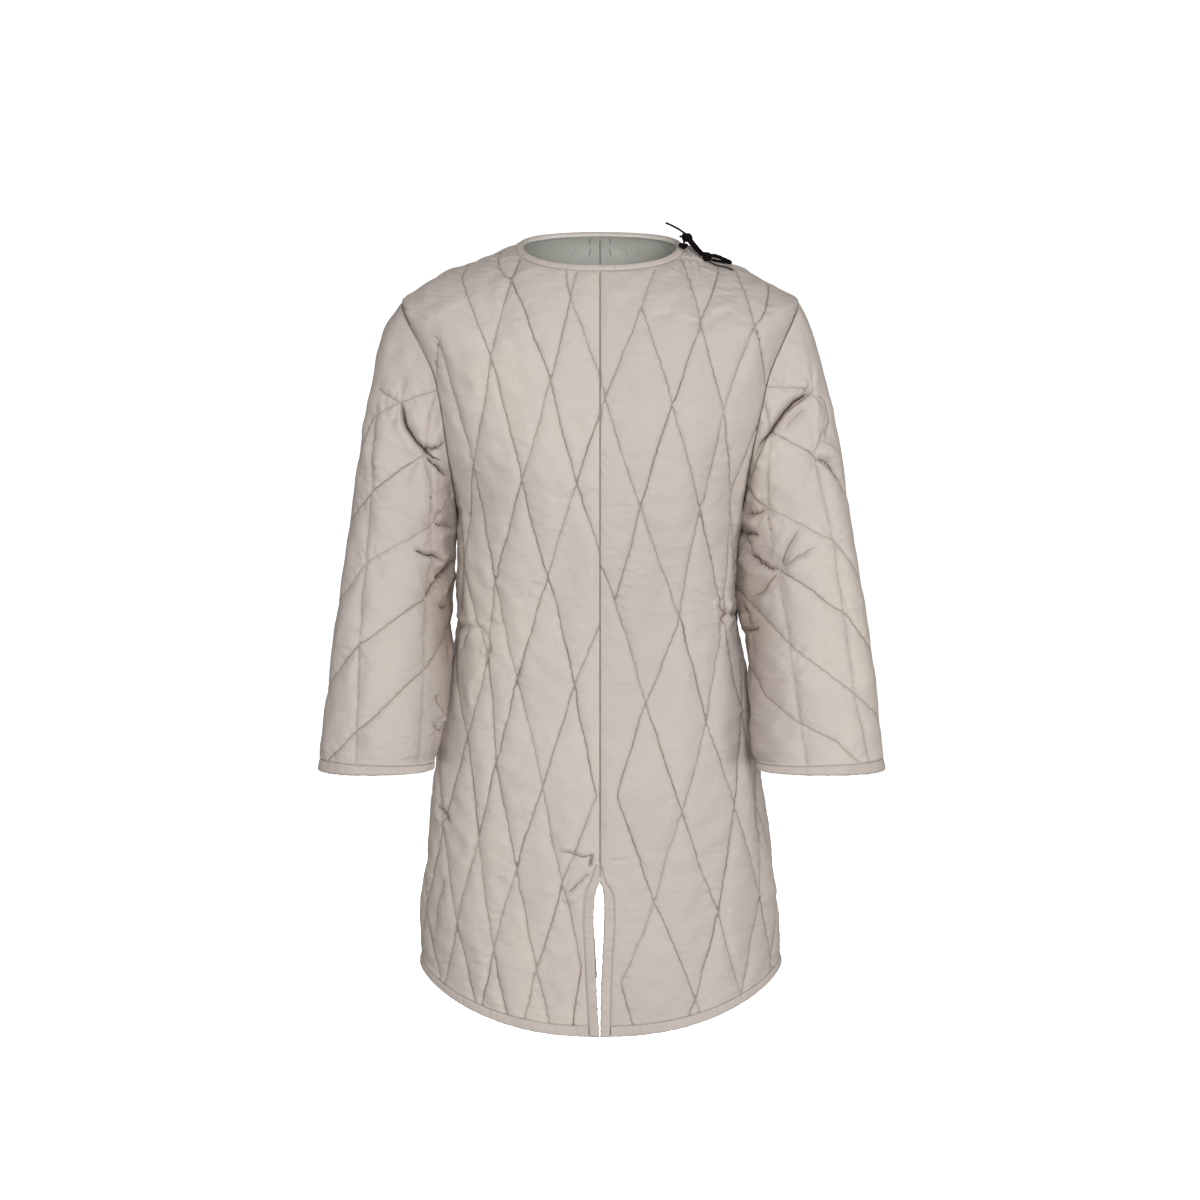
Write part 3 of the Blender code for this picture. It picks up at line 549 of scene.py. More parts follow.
def body_section(face, side, height):
    """The panel's outer surface at one level: a fine line from the centre seam to the outer edge."""
    depth = BODY["depth_" + face](height)
    half = BODY["half_" + side](height)
    edge_y = BODY["edge_y_" + face](height)
    centre_z, edge_z = BODY[face + "_z"](height), BODY["edge_z"](height)
    arch = BODY["arch"](height)
    reach = half / (1 - (edge_y / depth) ** BODY_POWER) ** (1 / BODY_POWER)
    last = math.asin(min(1.0, (half / reach) ** (BODY_POWER / 2)))
    angle = np.linspace(0, last, SECTION_POINTS)
    x = reach * np.sin(angle) ** (2 / BODY_POWER)
    share = np.cos(angle) ** (2 / BODY_POWER)
    if edge_y == 0:
        share[-1] = 0
    lift = (1 - arch) * share + arch * share ** 2
    lift = (lift - lift[-1]) / (1 - lift[-1])
    z = edge_z + (centre_z - edge_z) * lift
    return np.stack([SIDES[side] * x, FACES[face] * depth * share, z], axis=1)


def grid_normals(grid, wrap=False):
    """Directions square to a grid of points; wrap is for one whose last column meets its first."""
    down = np.gradient(grid, axis=0)
    if wrap:
        over = (np.roll(grid, -1, axis=1) - np.roll(grid, 1, axis=1)) / 2
    else:
        over = np.gradient(grid, axis=1)
    return unit(np.cross(over, down))


def armhole_ring(side, count):
    """The armhole's seam line from the shoulder tip, down the front and up the back, evenly spaced."""
    levels = np.linspace(SHOULDER_TIP, ARMPIT, ARMHOLE_LEVELS)
    halves = []
    for face in FACES:
        line = np.array([body_section(face, side, level)[-1] for level in levels])
        halves.append(resample(line, np.linspace(0, lengths_along(line)[-1], count // 2 + 1)))
    return np.vstack([halves[0], halves[1][-2:0:-1]])


class Cloth:
    """A piece's outer surface as a grid, with each point's two coordinates on the piece: a panel's are
    (distance from the centre seam, level), and a sleeve's (share of the way round from its outer line,
    share of its length)."""

    def __init__(self, name, grid, normals, rows, columns=None):
        self.name, self.grid, self.normals = name, grid, normals
        self.kind, self.side = name.split("_")
        self.rows, self.columns, self.wrap = rows, columns, columns is None
        self.views = {}

    def view(self, first, last):
        """The surface between two columns, with a search tree of how it looks from in front."""
        if (first, last) not in self.views:
            points = self.grid[:, first:last].reshape(-1, 3)
            tree = search_tree([(point[0], 0, point[2]) for point in points])
            self.views[first, last] = points, self.normals[:, first:last].reshape(-1, 3), tree
        return self.views[first, last]

    def place(self, across, levels):
        """Points and normals of the surface at given coordinates, and which of them lie on it."""
        across, levels = np.asarray(across, float), np.asarray(levels, float)
        width = self.grid.shape[1]
        row = np.interp(levels, self.rows, np.arange(len(self.rows)))
        low = np.clip(row.astype(int), 0, len(self.rows) - 2)
        share = row - low
        if self.wrap:
            column = (across % 1.0) * width
            inside = np.ones(len(across), bool)
        else:
            first = self.columns[low, 0] * (1 - share) + self.columns[low + 1, 0] * share
            last = self.columns[low, -1] * (1 - share) + self.columns[low + 1, -1] * share
            column = (across - first) / (last - first) * (width - 1)
            inside = (column > -0.5) & (column < width - 0.5)
            column = np.clip(column, 0, width - 1 - 1e-6)
        inside &= (levels >= self.rows[0]) & (levels <= self.rows[-1])
        left = column.astype(int)
        part = (column - left)[:, None]
        right = (left + 1) % width if self.wrap else left + 1
        share = share[:, None]
        out = []
        for field in (self.grid, self.normals):
            out.append((1 - share) * ((1 - part) * field[low, left] + part * field[low, right])
                       + share * ((1 - part) * field[low + 1, left] + part * field[low + 1, right]))
        return out[0], unit(out[1]), inside


def slit_edge(face, side, level):
    """How far the cloth's cut edge stands from the centre seam, and how much of that its strip fills."""
    opening = SLIT_EDGE[side](level) + (BACK_SLIT_EASE if face == "back" else 0.0)
    shut = ease((SLIT_TOP - level) / SLIT_RUN_OUT)
    return (opening + EDGE_GAP + BINDING) * shut, (EDGE_GAP + BINDING) * shut


def slit_band(side, level):
    """Width of the slit binding: it narrows towards the top, to almost nothing on the wearer's left."""
    least, over = SLIT_NARROWING[side]
    return SLIT_BAND * (least + (1 - least) * ease((SLIT_TOP - level) / over))


def panel_cloth(face, side):
    """The outer surface of a panel, its rows from the hem to the neck."""
    levels = np.linspace(HEM, NECK, CELL_ROWS + 1)
    grid, columns = [], []
    for level in levels:
        line = body_section(face, side, level)
        start = slit_edge(face, side, level)[0]
        stations = np.linspace(start, lengths_along(line)[-1], CELL_COLUMNS + 1)
        grid.append(resample(line, stations))
        columns.append(stations)
    grid = np.array(grid)
    hand = -SIDES[side] * FACES[face]
    return Cloth(face + "_" + side, grid, hand * grid_normals(grid), levels, np.array(columns))


def sleeve_cloth(side):
    """The outer surface of a sleeve, its rings from the armhole, whose shape they keep at first."""
    sign = SIDES[side]
    armhole = armhole_ring(side, RING_COLUMNS)
    turn = 2 * math.pi * np.arange(RING_COLUMNS) / RING_COLUMNS

    def section(along):
        """Middle, half width, direction across to the outer line and direction along of one ring."""
        outer = np.array([sign * ARM["outer_" + side](along), 0, ARM["outer_z"](along)])
        inner = np.array([sign * ARM["inner_" + side](along), 0, ARM["inner_z"](along)])
        middle = (outer + inner) / 2
        middle[1] = -ARM["forward"](along)
        half = np.linalg.norm(outer - inner) / 2
        across = (outer - inner) / (2 * half)
        return middle, half, across, np.cross(across, (0, 1, 0))

    middle, half, across, normal = section(0)
    offset = armhole - middle
    own = np.stack([offset @ across / half, offset[:, 1] / ARM["half_depth"](0), offset @ normal / half],
                   axis=1)
    power = 2 / SLEEVE_POWER
    oval = np.stack([np.sign(np.cos(turn)) * np.abs(np.cos(turn)) ** power,
                     -np.sign(np.sin(turn)) * np.abs(np.sin(turn)) ** power, 0 * turn], axis=1)
    rings = []
    shares = np.linspace(0, 1, RING_ROWS + 1)
    for along in shares:
        blend = ease(along / CAP_BLEND)
        shape = (1 - blend) * own + blend * oval
        middle, half, across, normal = section(along)
        rings.append(middle + np.outer(shape[:, 0] * half, across) + np.outer(shape[:, 2] * half, normal)
                     + np.outer(shape[:, 1] * ARM["half_depth"](along), (0, 1, 0)))
    grid = np.array(rings)
    return Cloth("sleeve_" + side, grid, sign * grid_normals(grid, wrap=True), shares)


def share_edge_normals(cloths):
    """Where two pieces meet, both take the mean of their normals, so that their edges stay together."""
    edges = []
    for cloth in cloths.values():
        rows, columns = cloth.grid.shape[:2]
        if cloth.wrap:
            edges += [(cloth, (0, column)) for column in range(columns)]
        else:
            edges += [(cloth, (row, column)) for row in range(rows) for column in (0, columns - 1)]
    tree = search_tree([cloth.grid[spot] for cloth, spot in edges])
    shared = []
    for cloth, spot in edges:
        total = cloth.normals[spot].copy()
        met = set()
        for _, k, _ in tree.find_range(cloth.grid[spot], SEAM_REACH):
            other, other_spot = edges[k]
            if other is not cloth and other.name not in met:
                met.add(other.name)
                total += other.normals[other_spot]
        shared.append(total / np.linalg.norm(total))
    for (cloth, spot), normal in zip(edges, shared):
        cloth.normals[spot] = normal


def waves(x, y, length, seed):
    """Soft irregular waves of about the given length, between about -1 and 1."""
    rng = np.random.default_rng(seed)
    total = 0
    for _ in range(WAVE_COUNT):
        angle, phase = rng.uniform(0, 2 * math.pi, 2)
        k = 2 * math.pi / (length * rng.uniform(0.7, 1.5))
        total = total + np.sin(k * (x * math.cos(angle) + y * math.sin(angle)) + phase)
    return total / math.sqrt(WAVE_COUNT / 2) * 0.7


def waves_along(run, length, seed):
    """The same along a line, by the distance along it."""
    return waves(run, 0 * run, length, seed)


# ------------------------------------------------------------------ quilting
def lattice_lines(columns, period, open_top=True):
    """Lines joining each crossing to the nearest crossings above and below it in the next column."""
    full = []
    for column in columns:
        column = sorted(column, key=lambda spot: -spot[1])
        top, low = column[0], column[-1]
        above = [(top[0], top[1] + period)] if open_top else []
        full.append([*above, *column, (low[0], low[1] - period)])
    lines = []
    for here, beside in zip(full, full[1:]):
        for spot in here:
            above = [other for other in beside if other[1] > spot[1]]
            below = [other for other in beside if other[1] <= spot[1]]
            if above:
                lines.append([spot, min(above, key=lambda other: other[1])])
            if below:
                lines.append([spot, max(below, key=lambda other: other[1])])
    return lines


def back_crossings():
    """Crossings on a back panel: columns of diamonds that stand and slope a little unevenly."""
    columns = []
    for k in range(BACK_COLUMNS):
        start = BACK_START - BACK_PERIOD / 2 * (k % 2) - 0.1 * BACK_SPACING * k
        columns.append([(BACK_SPACING * k + 5 * math.sin(1.7 * k + j),
                         start - BACK_PERIOD * j + 6 * math.sin(k + 2.3 * j)) for j in range(BACK_ROWS)])
    return columns


def quilting_lines(cloth):
    """Every quilting line of a piece, in the piece's own coordinates."""
    if cloth.kind == "front":
        return lattice_lines(FRONT_CROSSINGS[cloth.side], PERIOD, open_top=False) + END_LINES[cloth.side]
    if cloth.kind == "back":
        lines = lattice_lines(back_crossings(), BACK_PERIOD)
        across, level = BACK_SHOULDER
        return [(low, high) for low, high in lines if high[0] < across or low[1] < level]
    lines = [[(around, along) for along, around in line] for line in SLEEVE_LINES[cloth.side]]
    return lines + [[(-around, along) for around, along in line] for line in lines]


def swayed(dense, number):
    """A quilting line's small unevenness: each point moves a little to its side."""
    run = np.arange(len(dense)) * STITCH_STEP
    sway = sum(height * waves_along(run, length, seed + number) for height, length, seed in SWAYS)
    sway = sway + BOW * math.sin(5.1 * number) * np.sin(math.pi * run / run[-1])
    sway *= ease(np.minimum(run, run[-1] - run) / SWAY_ENDS)
    return dense + sideways(unit(np.gradient(dense, axis=0))) * sway[:, None]


def seen_from_front(cloth, spots, number):
    """A line that is straight as seen from in front or behind, laid on the cloth."""
    places, _, _ = cloth.place(spots[:, 0], spots[:, 1])
    sign = SIDES[cloth.side]
    first, last = 0, cloth.grid.shape[1]
    if cloth.wrap:
        half = last // 2
        first, last = (0, half + 1) if spots[:, 0].mean() > 0 else (half, last)
    else:
        places[:, 0] += sign * np.minimum(spots[:, 0], 0)
    points, normals, tree = cloth.view(first, last)
    flat = places[:, [0, 2]]
    dense = resample(flat, np.arange(0, lengths_along(flat)[-1], STITCH_STEP))
    if len(dense) < SHORTEST_LINE:
        return np.zeros((0, 3))
    dense = swayed(dense, number)
    if not cloth.wrap:
        dense = dense[dense[:, 0] * sign > 0]
    nearest = np.array([tree.find((x, 0, z))[1] for x, z in dense], int)
    base, normal = points[nearest], normals[nearest]
    least = LEAST_FORWARD * np.sign(normal[:, 1] + 1e-9)
    forward = np.where(np.abs(normal[:, 1]) < LEAST_FORWARD, least, normal[:, 1])
    shift = dense - base[:, [0, 2]]
    y = base[:, 1] - (shift[:, 0] * normal[:, 0] + shift[:, 1] * normal[:, 2]) / forward
    return np.stack([dense[:, 0], y, dense[:, 1]], axis=1)


def on_surface(cloth, spots, number):
    """A line that is straight in the piece's own coordinates."""
    scale = np.array(SLEEVE_SIZE) if cloth.wrap else np.ones(2)
    dense = resample(spots * scale, np.arange(0, lengths_along(spots * scale)[-1], STITCH_STEP))
    if len(dense) < SHORTEST_LINE:
        return np.zeros((0, 3))
    dense = swayed(dense, number) / scale
    points, _, inside = cloth.place(dense[:, 0], dense[:, 1])
    return points[inside]


def laid_line(cloth, spots, number):
    """The points of one quilting line: as seen from in front, or along the cloth where that turns away."""
    if cloth.wrap:
        away = np.sign(spots[:, 0]) != np.sign(spots[:, 0].mean())
        cut = int(np.argmax(away)) if away.any() else len(spots)
        parts = [seen_from_front(cloth, spots[:cut], number)]
        if away.any():
            parts.append(on_surface(cloth, spots[cut - 1:], number))
        return np.vstack(parts)
    _, normals, _ = cloth.place(spots[:, 0], spots[:, 1])
    level = cloth.rows[0] <= spots[:, 1].min() and spots[:, 1].max() <= cloth.rows[-1]
    width = np.interp(spots[:, 1], cloth.rows, cloth.columns[:, -1])
    if level and (spots[:, 0] <= width).all() and np.abs(normals[:, 1]).min() > FACING:
        return seen_from_front(cloth, spots, number)
    return on_surface(cloth, spots, number)


def drawn_lines(routes):
    """Closely spaced points of many lines. The distance along them counts on from line to line."""
    offset, parts = 0.0, []
    for number, (points, strength) in enumerate(routes):
        if len(points) < SHORTEST_LINE:
            continue
        run = lengths_along(points)
        parts.append((points, unit(np.gradient(points, axis=0)), run + offset,
                      strength * np.ones(len(points)), np.full(len(points), number)))
        offset += run[-1] + RUN_GAP
    return Lines(*(np.concatenate(fields) for fields in zip(*parts)))


def stitch_routes(cloth):
    """Every quilting line with the strength of its thread's colour."""
    routes = []
    for number, line in enumerate(quilting_lines(cloth)):
        strength = THREAD_STRENGTH + 0.2 * math.sin(2.3 * number + len(cloth.name))
        if cloth.wrap:
            lengthwise = number % len(SLEEVE_LINES[cloth.side]) < LENGTHWISE_LINES
            strength *= LENGTHWISE_THREAD if lengthwise else CROSSING_THREAD
        routes.append((laid_line(cloth, np.array(line, float), number), strength))
    return routes


def fold_routes(cloth):
    """The listed folds: route, half width, signed height and taper towards the ends."""
    scale = np.array(SLEEVE_SIZE[::-1]) if cloth.wrap else np.ones(2)
    repeats = ((1, 1.0), (-1, HIDDEN_SIDE)) if cloth.wrap else ((1, 1.0),)
    routes = []
    for number, (route, half_width, height) in enumerate(FOLDS[cloth.name]):
        spots = smooth_route(np.array(route, float) * scale, 1.0)
        run = lengths_along(spots)
        wander = 0.5 * waves_along(run, 16.0, 700 + number) * ease(np.minimum(run, run[-1] - run) / 10)
        spots = (spots + sideways(unit(np.gradient(spots, axis=0))) * wander[:, None]) / scale
        for turned, strength in repeats:
            places, _, inside = on_cloth(cloth, spots * (1, turned))
            share = np.linspace(0, 1, len(places))
            taper = ease(np.minimum(share * FOLD_START, (1 - share) * FOLD_END) + 0.02)
            if inside.sum() > SHORTEST_LINE:
                routes.append((places[inside], half_width, height * strength, taper[inside]))
    return routes


def smooth_route(route, spacing, steps=20):
    """Evenly spaced points on a smooth curve through a few route points."""
    route = np.asarray(route, float)
    along = lengths_along(route)
    tangent = np.gradient(route, along, axis=0)
    fine = []
    for k, h in enumerate(np.diff(along)):
        for f in np.linspace(0, 1, steps, endpoint=False):
            fine.append(cubic(f, h, route[k], route[k + 1], tangent[k], tangent[k + 1]))
    fine = np.array([*fine, route[-1]])
    total = lengths_along(fine)[-1]
    return resample(fine, np.linspace(0, total, max(3, round(total / spacing) + 1)))


def nearest_line(lines, points, normals):
    """Vector from each point to the nearest line, and which of the lines' points is the nearest."""
    tree = search_tree(lines.places)
    flat, normal = points.reshape(-1, 3), normals.reshape(-1, 3)
    nearest = np.array([tree.find(point)[1] for point in flat])
    way = lines.ways[nearest]
    step = lines.places[nearest] - flat
    along = np.clip((step * way).sum(1), -BETWEEN_POINTS, BETWEEN_POINTS)
    step = step - way * along[:, None]
    step -= normal * (step * normal).sum(1, keepdims=True)
    return step.reshape(points.shape), nearest.reshape(points.shape[:2])


def draw_onto(lines, points, normals, free):
    """Moves grid points sideways onto the lines that run between them, so that each line is a chain of
    points. Gives the distance to the nearest line, its nearest point and which points were moved."""
    step, nearest = nearest_line(lines, points, normals)
    distance = np.linalg.norm(step, axis=2)
    number = lines.numbers[nearest]
    hand = (np.cross(lines.ways[nearest], normals) * step).sum(2) > 0
    moved = distance < ON_LINE
    for axis in (0, 1):
        beyond = np.roll(distance, -1, axis)
        edge = np.linalg.norm(np.roll(points, -1, axis) - points, axis=2)
        crossed = (number == np.roll(number, -1, axis)) & (hand != np.roll(hand, -1, axis))
        crossed &= (distance + beyond < 1.5 * edge)
        nearer = distance <= beyond
        moved |= (crossed & nearer) | np.roll(crossed & ~nearer, 1, axis)
    moved &= free
    points[moved] += step[moved]
    return np.where(moved, 0.0, distance), nearest, moved


def padding(cloth, held, soft):
    """How far the padding rises, 0 where it is held down and 1 far from any stitching."""
    cell_x, cell_y = cell_sizes(cloth)
    wx, wy, pull = 1 / cell_x ** 2, 1 / cell_y ** 2, 1 / soft ** 2
    rise = np.where(held, 0.0, PADDING_START)
    for _ in range(PADDING_PASSES):
        if cloth.wrap:
            sides = np.roll(rise, 1, 1) + np.roll(rise, -1, 1)
        else:
            wide = np.pad(rise, ((0, 0), (1, 1)), mode="edge")
            sides = wide[:, 2:] + wide[:, :-2]
        tall = np.pad(rise, ((1, 1), (0, 0)), mode="edge")
        ends = tall[2:] + tall[:-2]
        rise = (wx * sides + wy * ends + pull) / (2 * wx + 2 * wy + pull)
        rise[held] = 0
    return rise


def cell_sizes(cloth):
    """Width and height of the grid's cells, by point."""
    grid = cloth.grid
    beyond = grid[:, :1] if cloth.wrap else grid[:, -1:]
    across = np.linalg.norm(np.diff(grid, axis=1, append=beyond), axis=2)
    if not cloth.wrap:
        across[:, -1] = across[:, -2]
    upward = np.linalg.norm(np.gradient(grid, axis=0), axis=2)
    return np.maximum(across, SMALLEST_CELL), np.maximum(upward, SMALLEST_CELL)


def along_polyline(points, route):
    """Distance from each point to a route, and how far along it the nearest place is, from 0 to 1."""
    best = np.full(points.shape[:2], 1e9)
    share = np.zeros(points.shape[:2])
    lengths = lengths_along(route)
    for k in range(len(route) - 1):
        a, b = route[k], route[k + 1]
        span = b - a
        t = np.clip(((points - a) @ span) / (span @ span), 0, 1)
        d = np.linalg.norm(points - a - t[..., None] * span, axis=2)
        nearer = d < best
        best = np.where(nearer, d, best)
        share = np.where(nearer, (lengths[k] + t * (lengths[k + 1] - lengths[k])) / lengths[-1], share)
    return best, share


def on_cloth(cloth, spots):
    """3-D places of (share or distance, level) spots written in the tables' order for that piece."""
    spots = np.array(spots, float)
    if cloth.wrap:
        spots = spots[:, ::-1]
    return cloth.place(spots[:, 0], spots[:, 1])


def raise_folds(points, routes):
    """The listed folds: how far they lift each point, and how deeply it is creased, from 0 to 1."""
    lift = np.zeros(points.shape[:2])
    creased = np.zeros(points.shape[:2])
    for places, half_width, height, taper in routes:
        distance, share = along_polyline(points, places[::3])
        fade = np.interp(share, np.linspace(0, 1, len(taper)), taper)
        soft = np.exp(-(distance / half_width) ** 2)
        if height < SHARP:
            soft = 0.5 * soft + 0.5 * np.exp(-distance / (0.6 * half_width))
            # how dark the painted shade in the fold's crease is
            creased += -height / FULL_CREASE * fade * np.exp(-(distance / (0.9 * half_width)) ** 2)
        lift += height * fade * soft
    return lift, np.clip(creased, 0, 1)


def add_pinches(cloth, points, lift):
    """Adds the wrinkles that run out of the pinched crossings."""
    for number, (spot, reach, strength) in enumerate(PINCHES[cloth.name]):
        for turned in (1, -1) if cloth.wrap else (1,):
            places, normals, _ = on_cloth(cloth, [(spot[0], spot[1] * turned)])
            centre, normal = places[0], normals[0]
            first = unit(np.cross(normal, (0.0, 0.0, 1.0)))
            second = np.cross(normal, first)
            offset = points - centre
            u, v = offset @ first, offset @ second
            rho = np.hypot(u, v)
            theta = np.arctan2(v, u)
            phase = 2.1 * number
            rays = (np.sin(5 * theta + phase) + 0.7 * np.sin(9 * theta + 1.3 * phase + 0.03 * rho)
                    + 0.4 * np.sin(13 * theta + 2.9 * phase))
            near = rho / reach
            facing = np.exp(-np.abs(offset @ normal) / 12)
            lift += strength * rays * near * np.exp(1 - 1.5 * near) * facing * 0.7
            lift -= 1.4 * strength * np.exp(-(rho / (0.22 * reach)) ** 2) * facing


# ------------------------------------------------------------------ meshes
def cells(index, rows_join=False, columns_join=False):
    """The corners of each cell in a grid of point numbers: here, beside, opposite and below."""
    rows, columns = index.shape
    r, c = np.meshgrid(np.arange(rows if rows_join else rows - 1),
                       np.arange(columns if columns_join else columns - 1), indexing="ij")
    r, c = r.ravel(), c.ravel()
    below, beside = (r + 1) % rows, (c + 1) % columns
    return index[r, c], index[r, beside], index[below, beside], index[below, c]


def quad_triangles(a, b, c, d, flip=False):
    """Two triangles for each four-sided cell; flip chooses the other diagonal."""
    flip = np.broadcast_to(flip, a.shape)[:, None]
    first = np.where(flip, np.stack([a, b, d], 1), np.stack([a, b, c], 1))
    second = np.where(flip, np.stack([b, c, d], 1), np.stack([a, c, d], 1))
    return np.vstack([first, second])


def facing_out(points, triangles):
    """The triangles of a closed skin, turned round if they face inwards."""
    a, b, c = (points[triangles[:, corner]] for corner in range(3))
    volume = np.einsum("ij,ij->i", a, np.cross(b, c)).sum()
    return triangles[:, ::-1] if volume < 0 else triangles


def add_mesh(name, points, triangles, material, attributes=None):
    """A triangle mesh in metres with named values on its points, in place of the plain piece."""
    mesh = bpy.data.meshes.new(name + "_look")
    points = np.asarray(points, float) * MM
    mesh.vertices.add(len(points))
    mesh.vertices.foreach_set("co", points.ravel())
    mesh.loops.add(3 * len(triangles))
    mesh.loops.foreach_set("vertex_index", np.asarray(triangles, np.int32).ravel())
    mesh.polygons.add(len(triangles))
    mesh.polygons.foreach_set("loop_start", np.arange(0, 3 * len(triangles), 3, dtype=np.int32))
    mesh.update(calc_edges=True)
    mesh.validate()
    mesh.shade_smooth()
    for key, values in (attributes or {}).items():
        layer = mesh.attributes.new(key, "FLOAT", "POINT")
        layer.data.foreach_set("value", np.asarray(values, np.float32).ravel())
    mesh.materials.append(material)
    piece = bpy.data.objects.new(name + "_look", mesh)
    bpy.context.scene.collection.objects.link(piece)
    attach(piece, "root")
    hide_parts(name)
    return piece


def rim(fine, coarse):
    """Triangles between an edge of the outer side and the same edge of the lining."""
    out = []
    for k in range(len(coarse) - 1):
        f0, f1, f2 = fine[2 * k], fine[2 * k + 1], fine[2 * k + 2]
        c0, c1 = coarse[k], coarse[k + 1]
        out += [(f0, c0, f1), (f1, c0, c1), (f1, c1, f2)]
    return np.array(out)


def wall_mesh(cloth, outer, inner, values, material):
    """A closed padded wall: a fine outer side, a lining side with every second point, and the rims."""
    rows, columns = outer.shape[:2]
    index = np.arange(rows * columns).reshape(rows, columns)
    a, b, e, d = cells(index, columns_join=cloth.wrap)
    stitch = values["stitch"].ravel()
    flip = (stitch[b] + stitch[d]) < (stitch[a] + stitch[e])
    front = quad_triangles(a, b, e, d, flip)

    lining = inner[::2, ::2]
    inner_rows, inner_columns = lining.shape[:2]
    inner_index = index.size + np.arange(inner_rows * inner_columns).reshape(inner_rows, inner_columns)
    a, b, e, d = cells(inner_index, columns_join=cloth.wrap)
    back = quad_triangles(b, a, d, e)

    if cloth.wrap:
        ring, inner_ring = np.r_[0:columns, 0], np.r_[0:inner_columns, 0]
        rims = [rim(index[0, ring], inner_index[0, inner_ring]),
                rim(index[-1, ring], inner_index[-1, inner_ring])[:, ::-1]]
    else:
        rims = [rim(index[0], inner_index[0]), rim(index[-1], inner_index[-1])[:, ::-1],
                rim(index[:, 0], inner_index[:, 0])[:, ::-1], rim(index[:, -1], inner_index[:, -1])]
    triangles = np.vstack([front, back, *rims])
    points = np.vstack([outer.reshape(-1, 3), lining.reshape(-1, 3)])
    # all the triangles are turned as one, by a triangle of the outer side and the cloth's own normal
    t = front[len(front) // 3]
    facing = np.cross(points[t[1]] - points[t[0]], points[t[2]] - points[t[0]])
    if facing @ cloth.normals.reshape(-1, 3)[t[0]] < 0:
        triangles = triangles[:, ::-1]
    attributes = {key: np.concatenate([field.ravel(), field[::2, ::2].ravel()])
                  for key, field in values.items()}
    attributes["lining"] = np.r_[np.zeros(index.size), np.ones(inner_index.size)]
    return add_mesh(cloth.name, points, triangles, material, attributes)


def sewn_places(cloth):
    """Where a piece is sewn: how far each point lies from a binding and from any seam, and which points
    a binding covers or a seam runs along."""
    levels = np.broadcast_to(cloth.rows[:, None], cloth.grid.shape[:2])
    if cloth.wrap:
        band = np.maximum(CUFF_SEAM - levels, 0) * SLEEVE_SIZE[1]
        seam = np.minimum(levels * SLEEVE_SIZE[1], band)
        covered = levels >= CUFF_SEAM
        return Sewn(levels, band, seam, covered, covered | (levels == 0))
    out = cloth.columns
    band = np.minimum(np.maximum(levels - HEM_SEAM, 0), np.maximum(NECK_SEAM - levels, 0) * 1.2)
    band_edge = out[:, :1] + slit_band(cloth.side, levels)
    in_slit = levels <= SLIT_TOP
    band = np.where(in_slit, np.minimum(band, np.maximum(out - band_edge, 0)), band)
    seam = np.minimum(band, out[:, -1:] - out)
    seam = np.where(in_slit, seam, np.minimum(seam, out))
    covered = band == 0
    rim_points = covered.copy()
    rim_points[:, 0] = rim_points[:, -1] = True
    return Sewn(levels, band, seam, covered, rim_points)


def puffed(cloth, base, sewn, rise, distance, run):
    """How far the padding lifts each point: puffed, puckered beside the stitches, draped and crinkled."""
    puff = SLEEVE_PUFF if cloth.wrap else BODY_PUFF
    x, depth, y = base[..., 0], base[..., 1], base[..., 2]
    seed = sum(map(ord, cloth.name))
    free = ease(sewn.seam / 12.0)
    away = 1 - np.exp(-distance / 1.2)
    pucker = waves_along(run, PUCKER_WAVE, seed + 1) * away * np.exp(-distance / puff.pucker)
    drape = (waves(x + 0.6 * depth, y * 0.45, DRAPE_WAVE, seed + 2)
             + 0.6 * waves(x - 0.5 * depth, y, SMALL_DRAPE_WAVE, seed + 3))
    crinkle = (waves((x + depth) * 0.55, y * 1.3, CRINKLE_WAVE, seed + 4)
               * ease(0.5 + 0.7 * waves(x + depth, y, CRINKLE_PATCH, seed + 5)))
    gather = (waves_along(along_edge(cloth), GATHER_WAVE, seed + 6)
              * np.exp(-sewn.seam / 7.0) * ease(sewn.seam / 2.0))
    sink = SINK - (SINK - SEAM_SINK) * np.exp(-sewn.seam / 5.0)
    sink = sink * (1 - 0.7 * np.exp(-sewn.band / 5.0))
    return (rise * puff.rise - sink
            + free * (puff.uneven * drape * (0.3 + rise) + CRINKLE_HEIGHT * crinkle)
            + PUCKER_HEIGHT * puff.uneven * pucker * free + GATHER_HEIGHT * gather)


def shape_sleeve(cloth, sewn, lift):
    """The bulge on the inner line of the wearer's left sleeve, and the smooth hang of the outer lines."""
    if cloth.side == "left":
        places, bulge = np.array(INNER_PUFF, float).T
        near = np.exp(-(from_inner_line(cloth) / 30) ** 2)
        lift = lift + smooth_curve(places, bulge)(sewn.levels) * near * ease(sewn.seam / 25.0)
    turn = np.arange(cloth.grid.shape[1]) / cloth.grid.shape[1]
    from_outer_line = np.minimum(turn, 1 - turn) * SLEEVE_SIZE[0]
    calm = 1 - 0.6 * np.exp(-(from_outer_line / 34) ** 2)
    return OUTER_LINE + (lift - OUTER_LINE) * calm


def from_inner_line(cloth):
    """Distance round the sleeve from its inner line, by column."""
    return np.abs(np.arange(cloth.grid.shape[1]) / cloth.grid.shape[1] - 0.5) * SLEEVE_SIZE[0]


def inner_sleeve_painted_shade(cloth, sewn):
    """How much painted shade the cloth has: along a sleeve's inner line, where the body shades it, and most
    of all by the elbow.
    """
    if not cloth.wrap:
        return np.zeros(cloth.grid.shape[:2])
    distance = from_inner_line(cloth)
    worn = 0.62 * np.exp(-(distance / 88) ** 4) + 0.38 * np.exp(-(distance / 40) ** 2)
    elbow = 0.45 + 0.55 * np.exp(-((sewn.levels - 0.42) / 0.26) ** 2)
    return worn * elbow * ease(sewn.seam / 12.0)


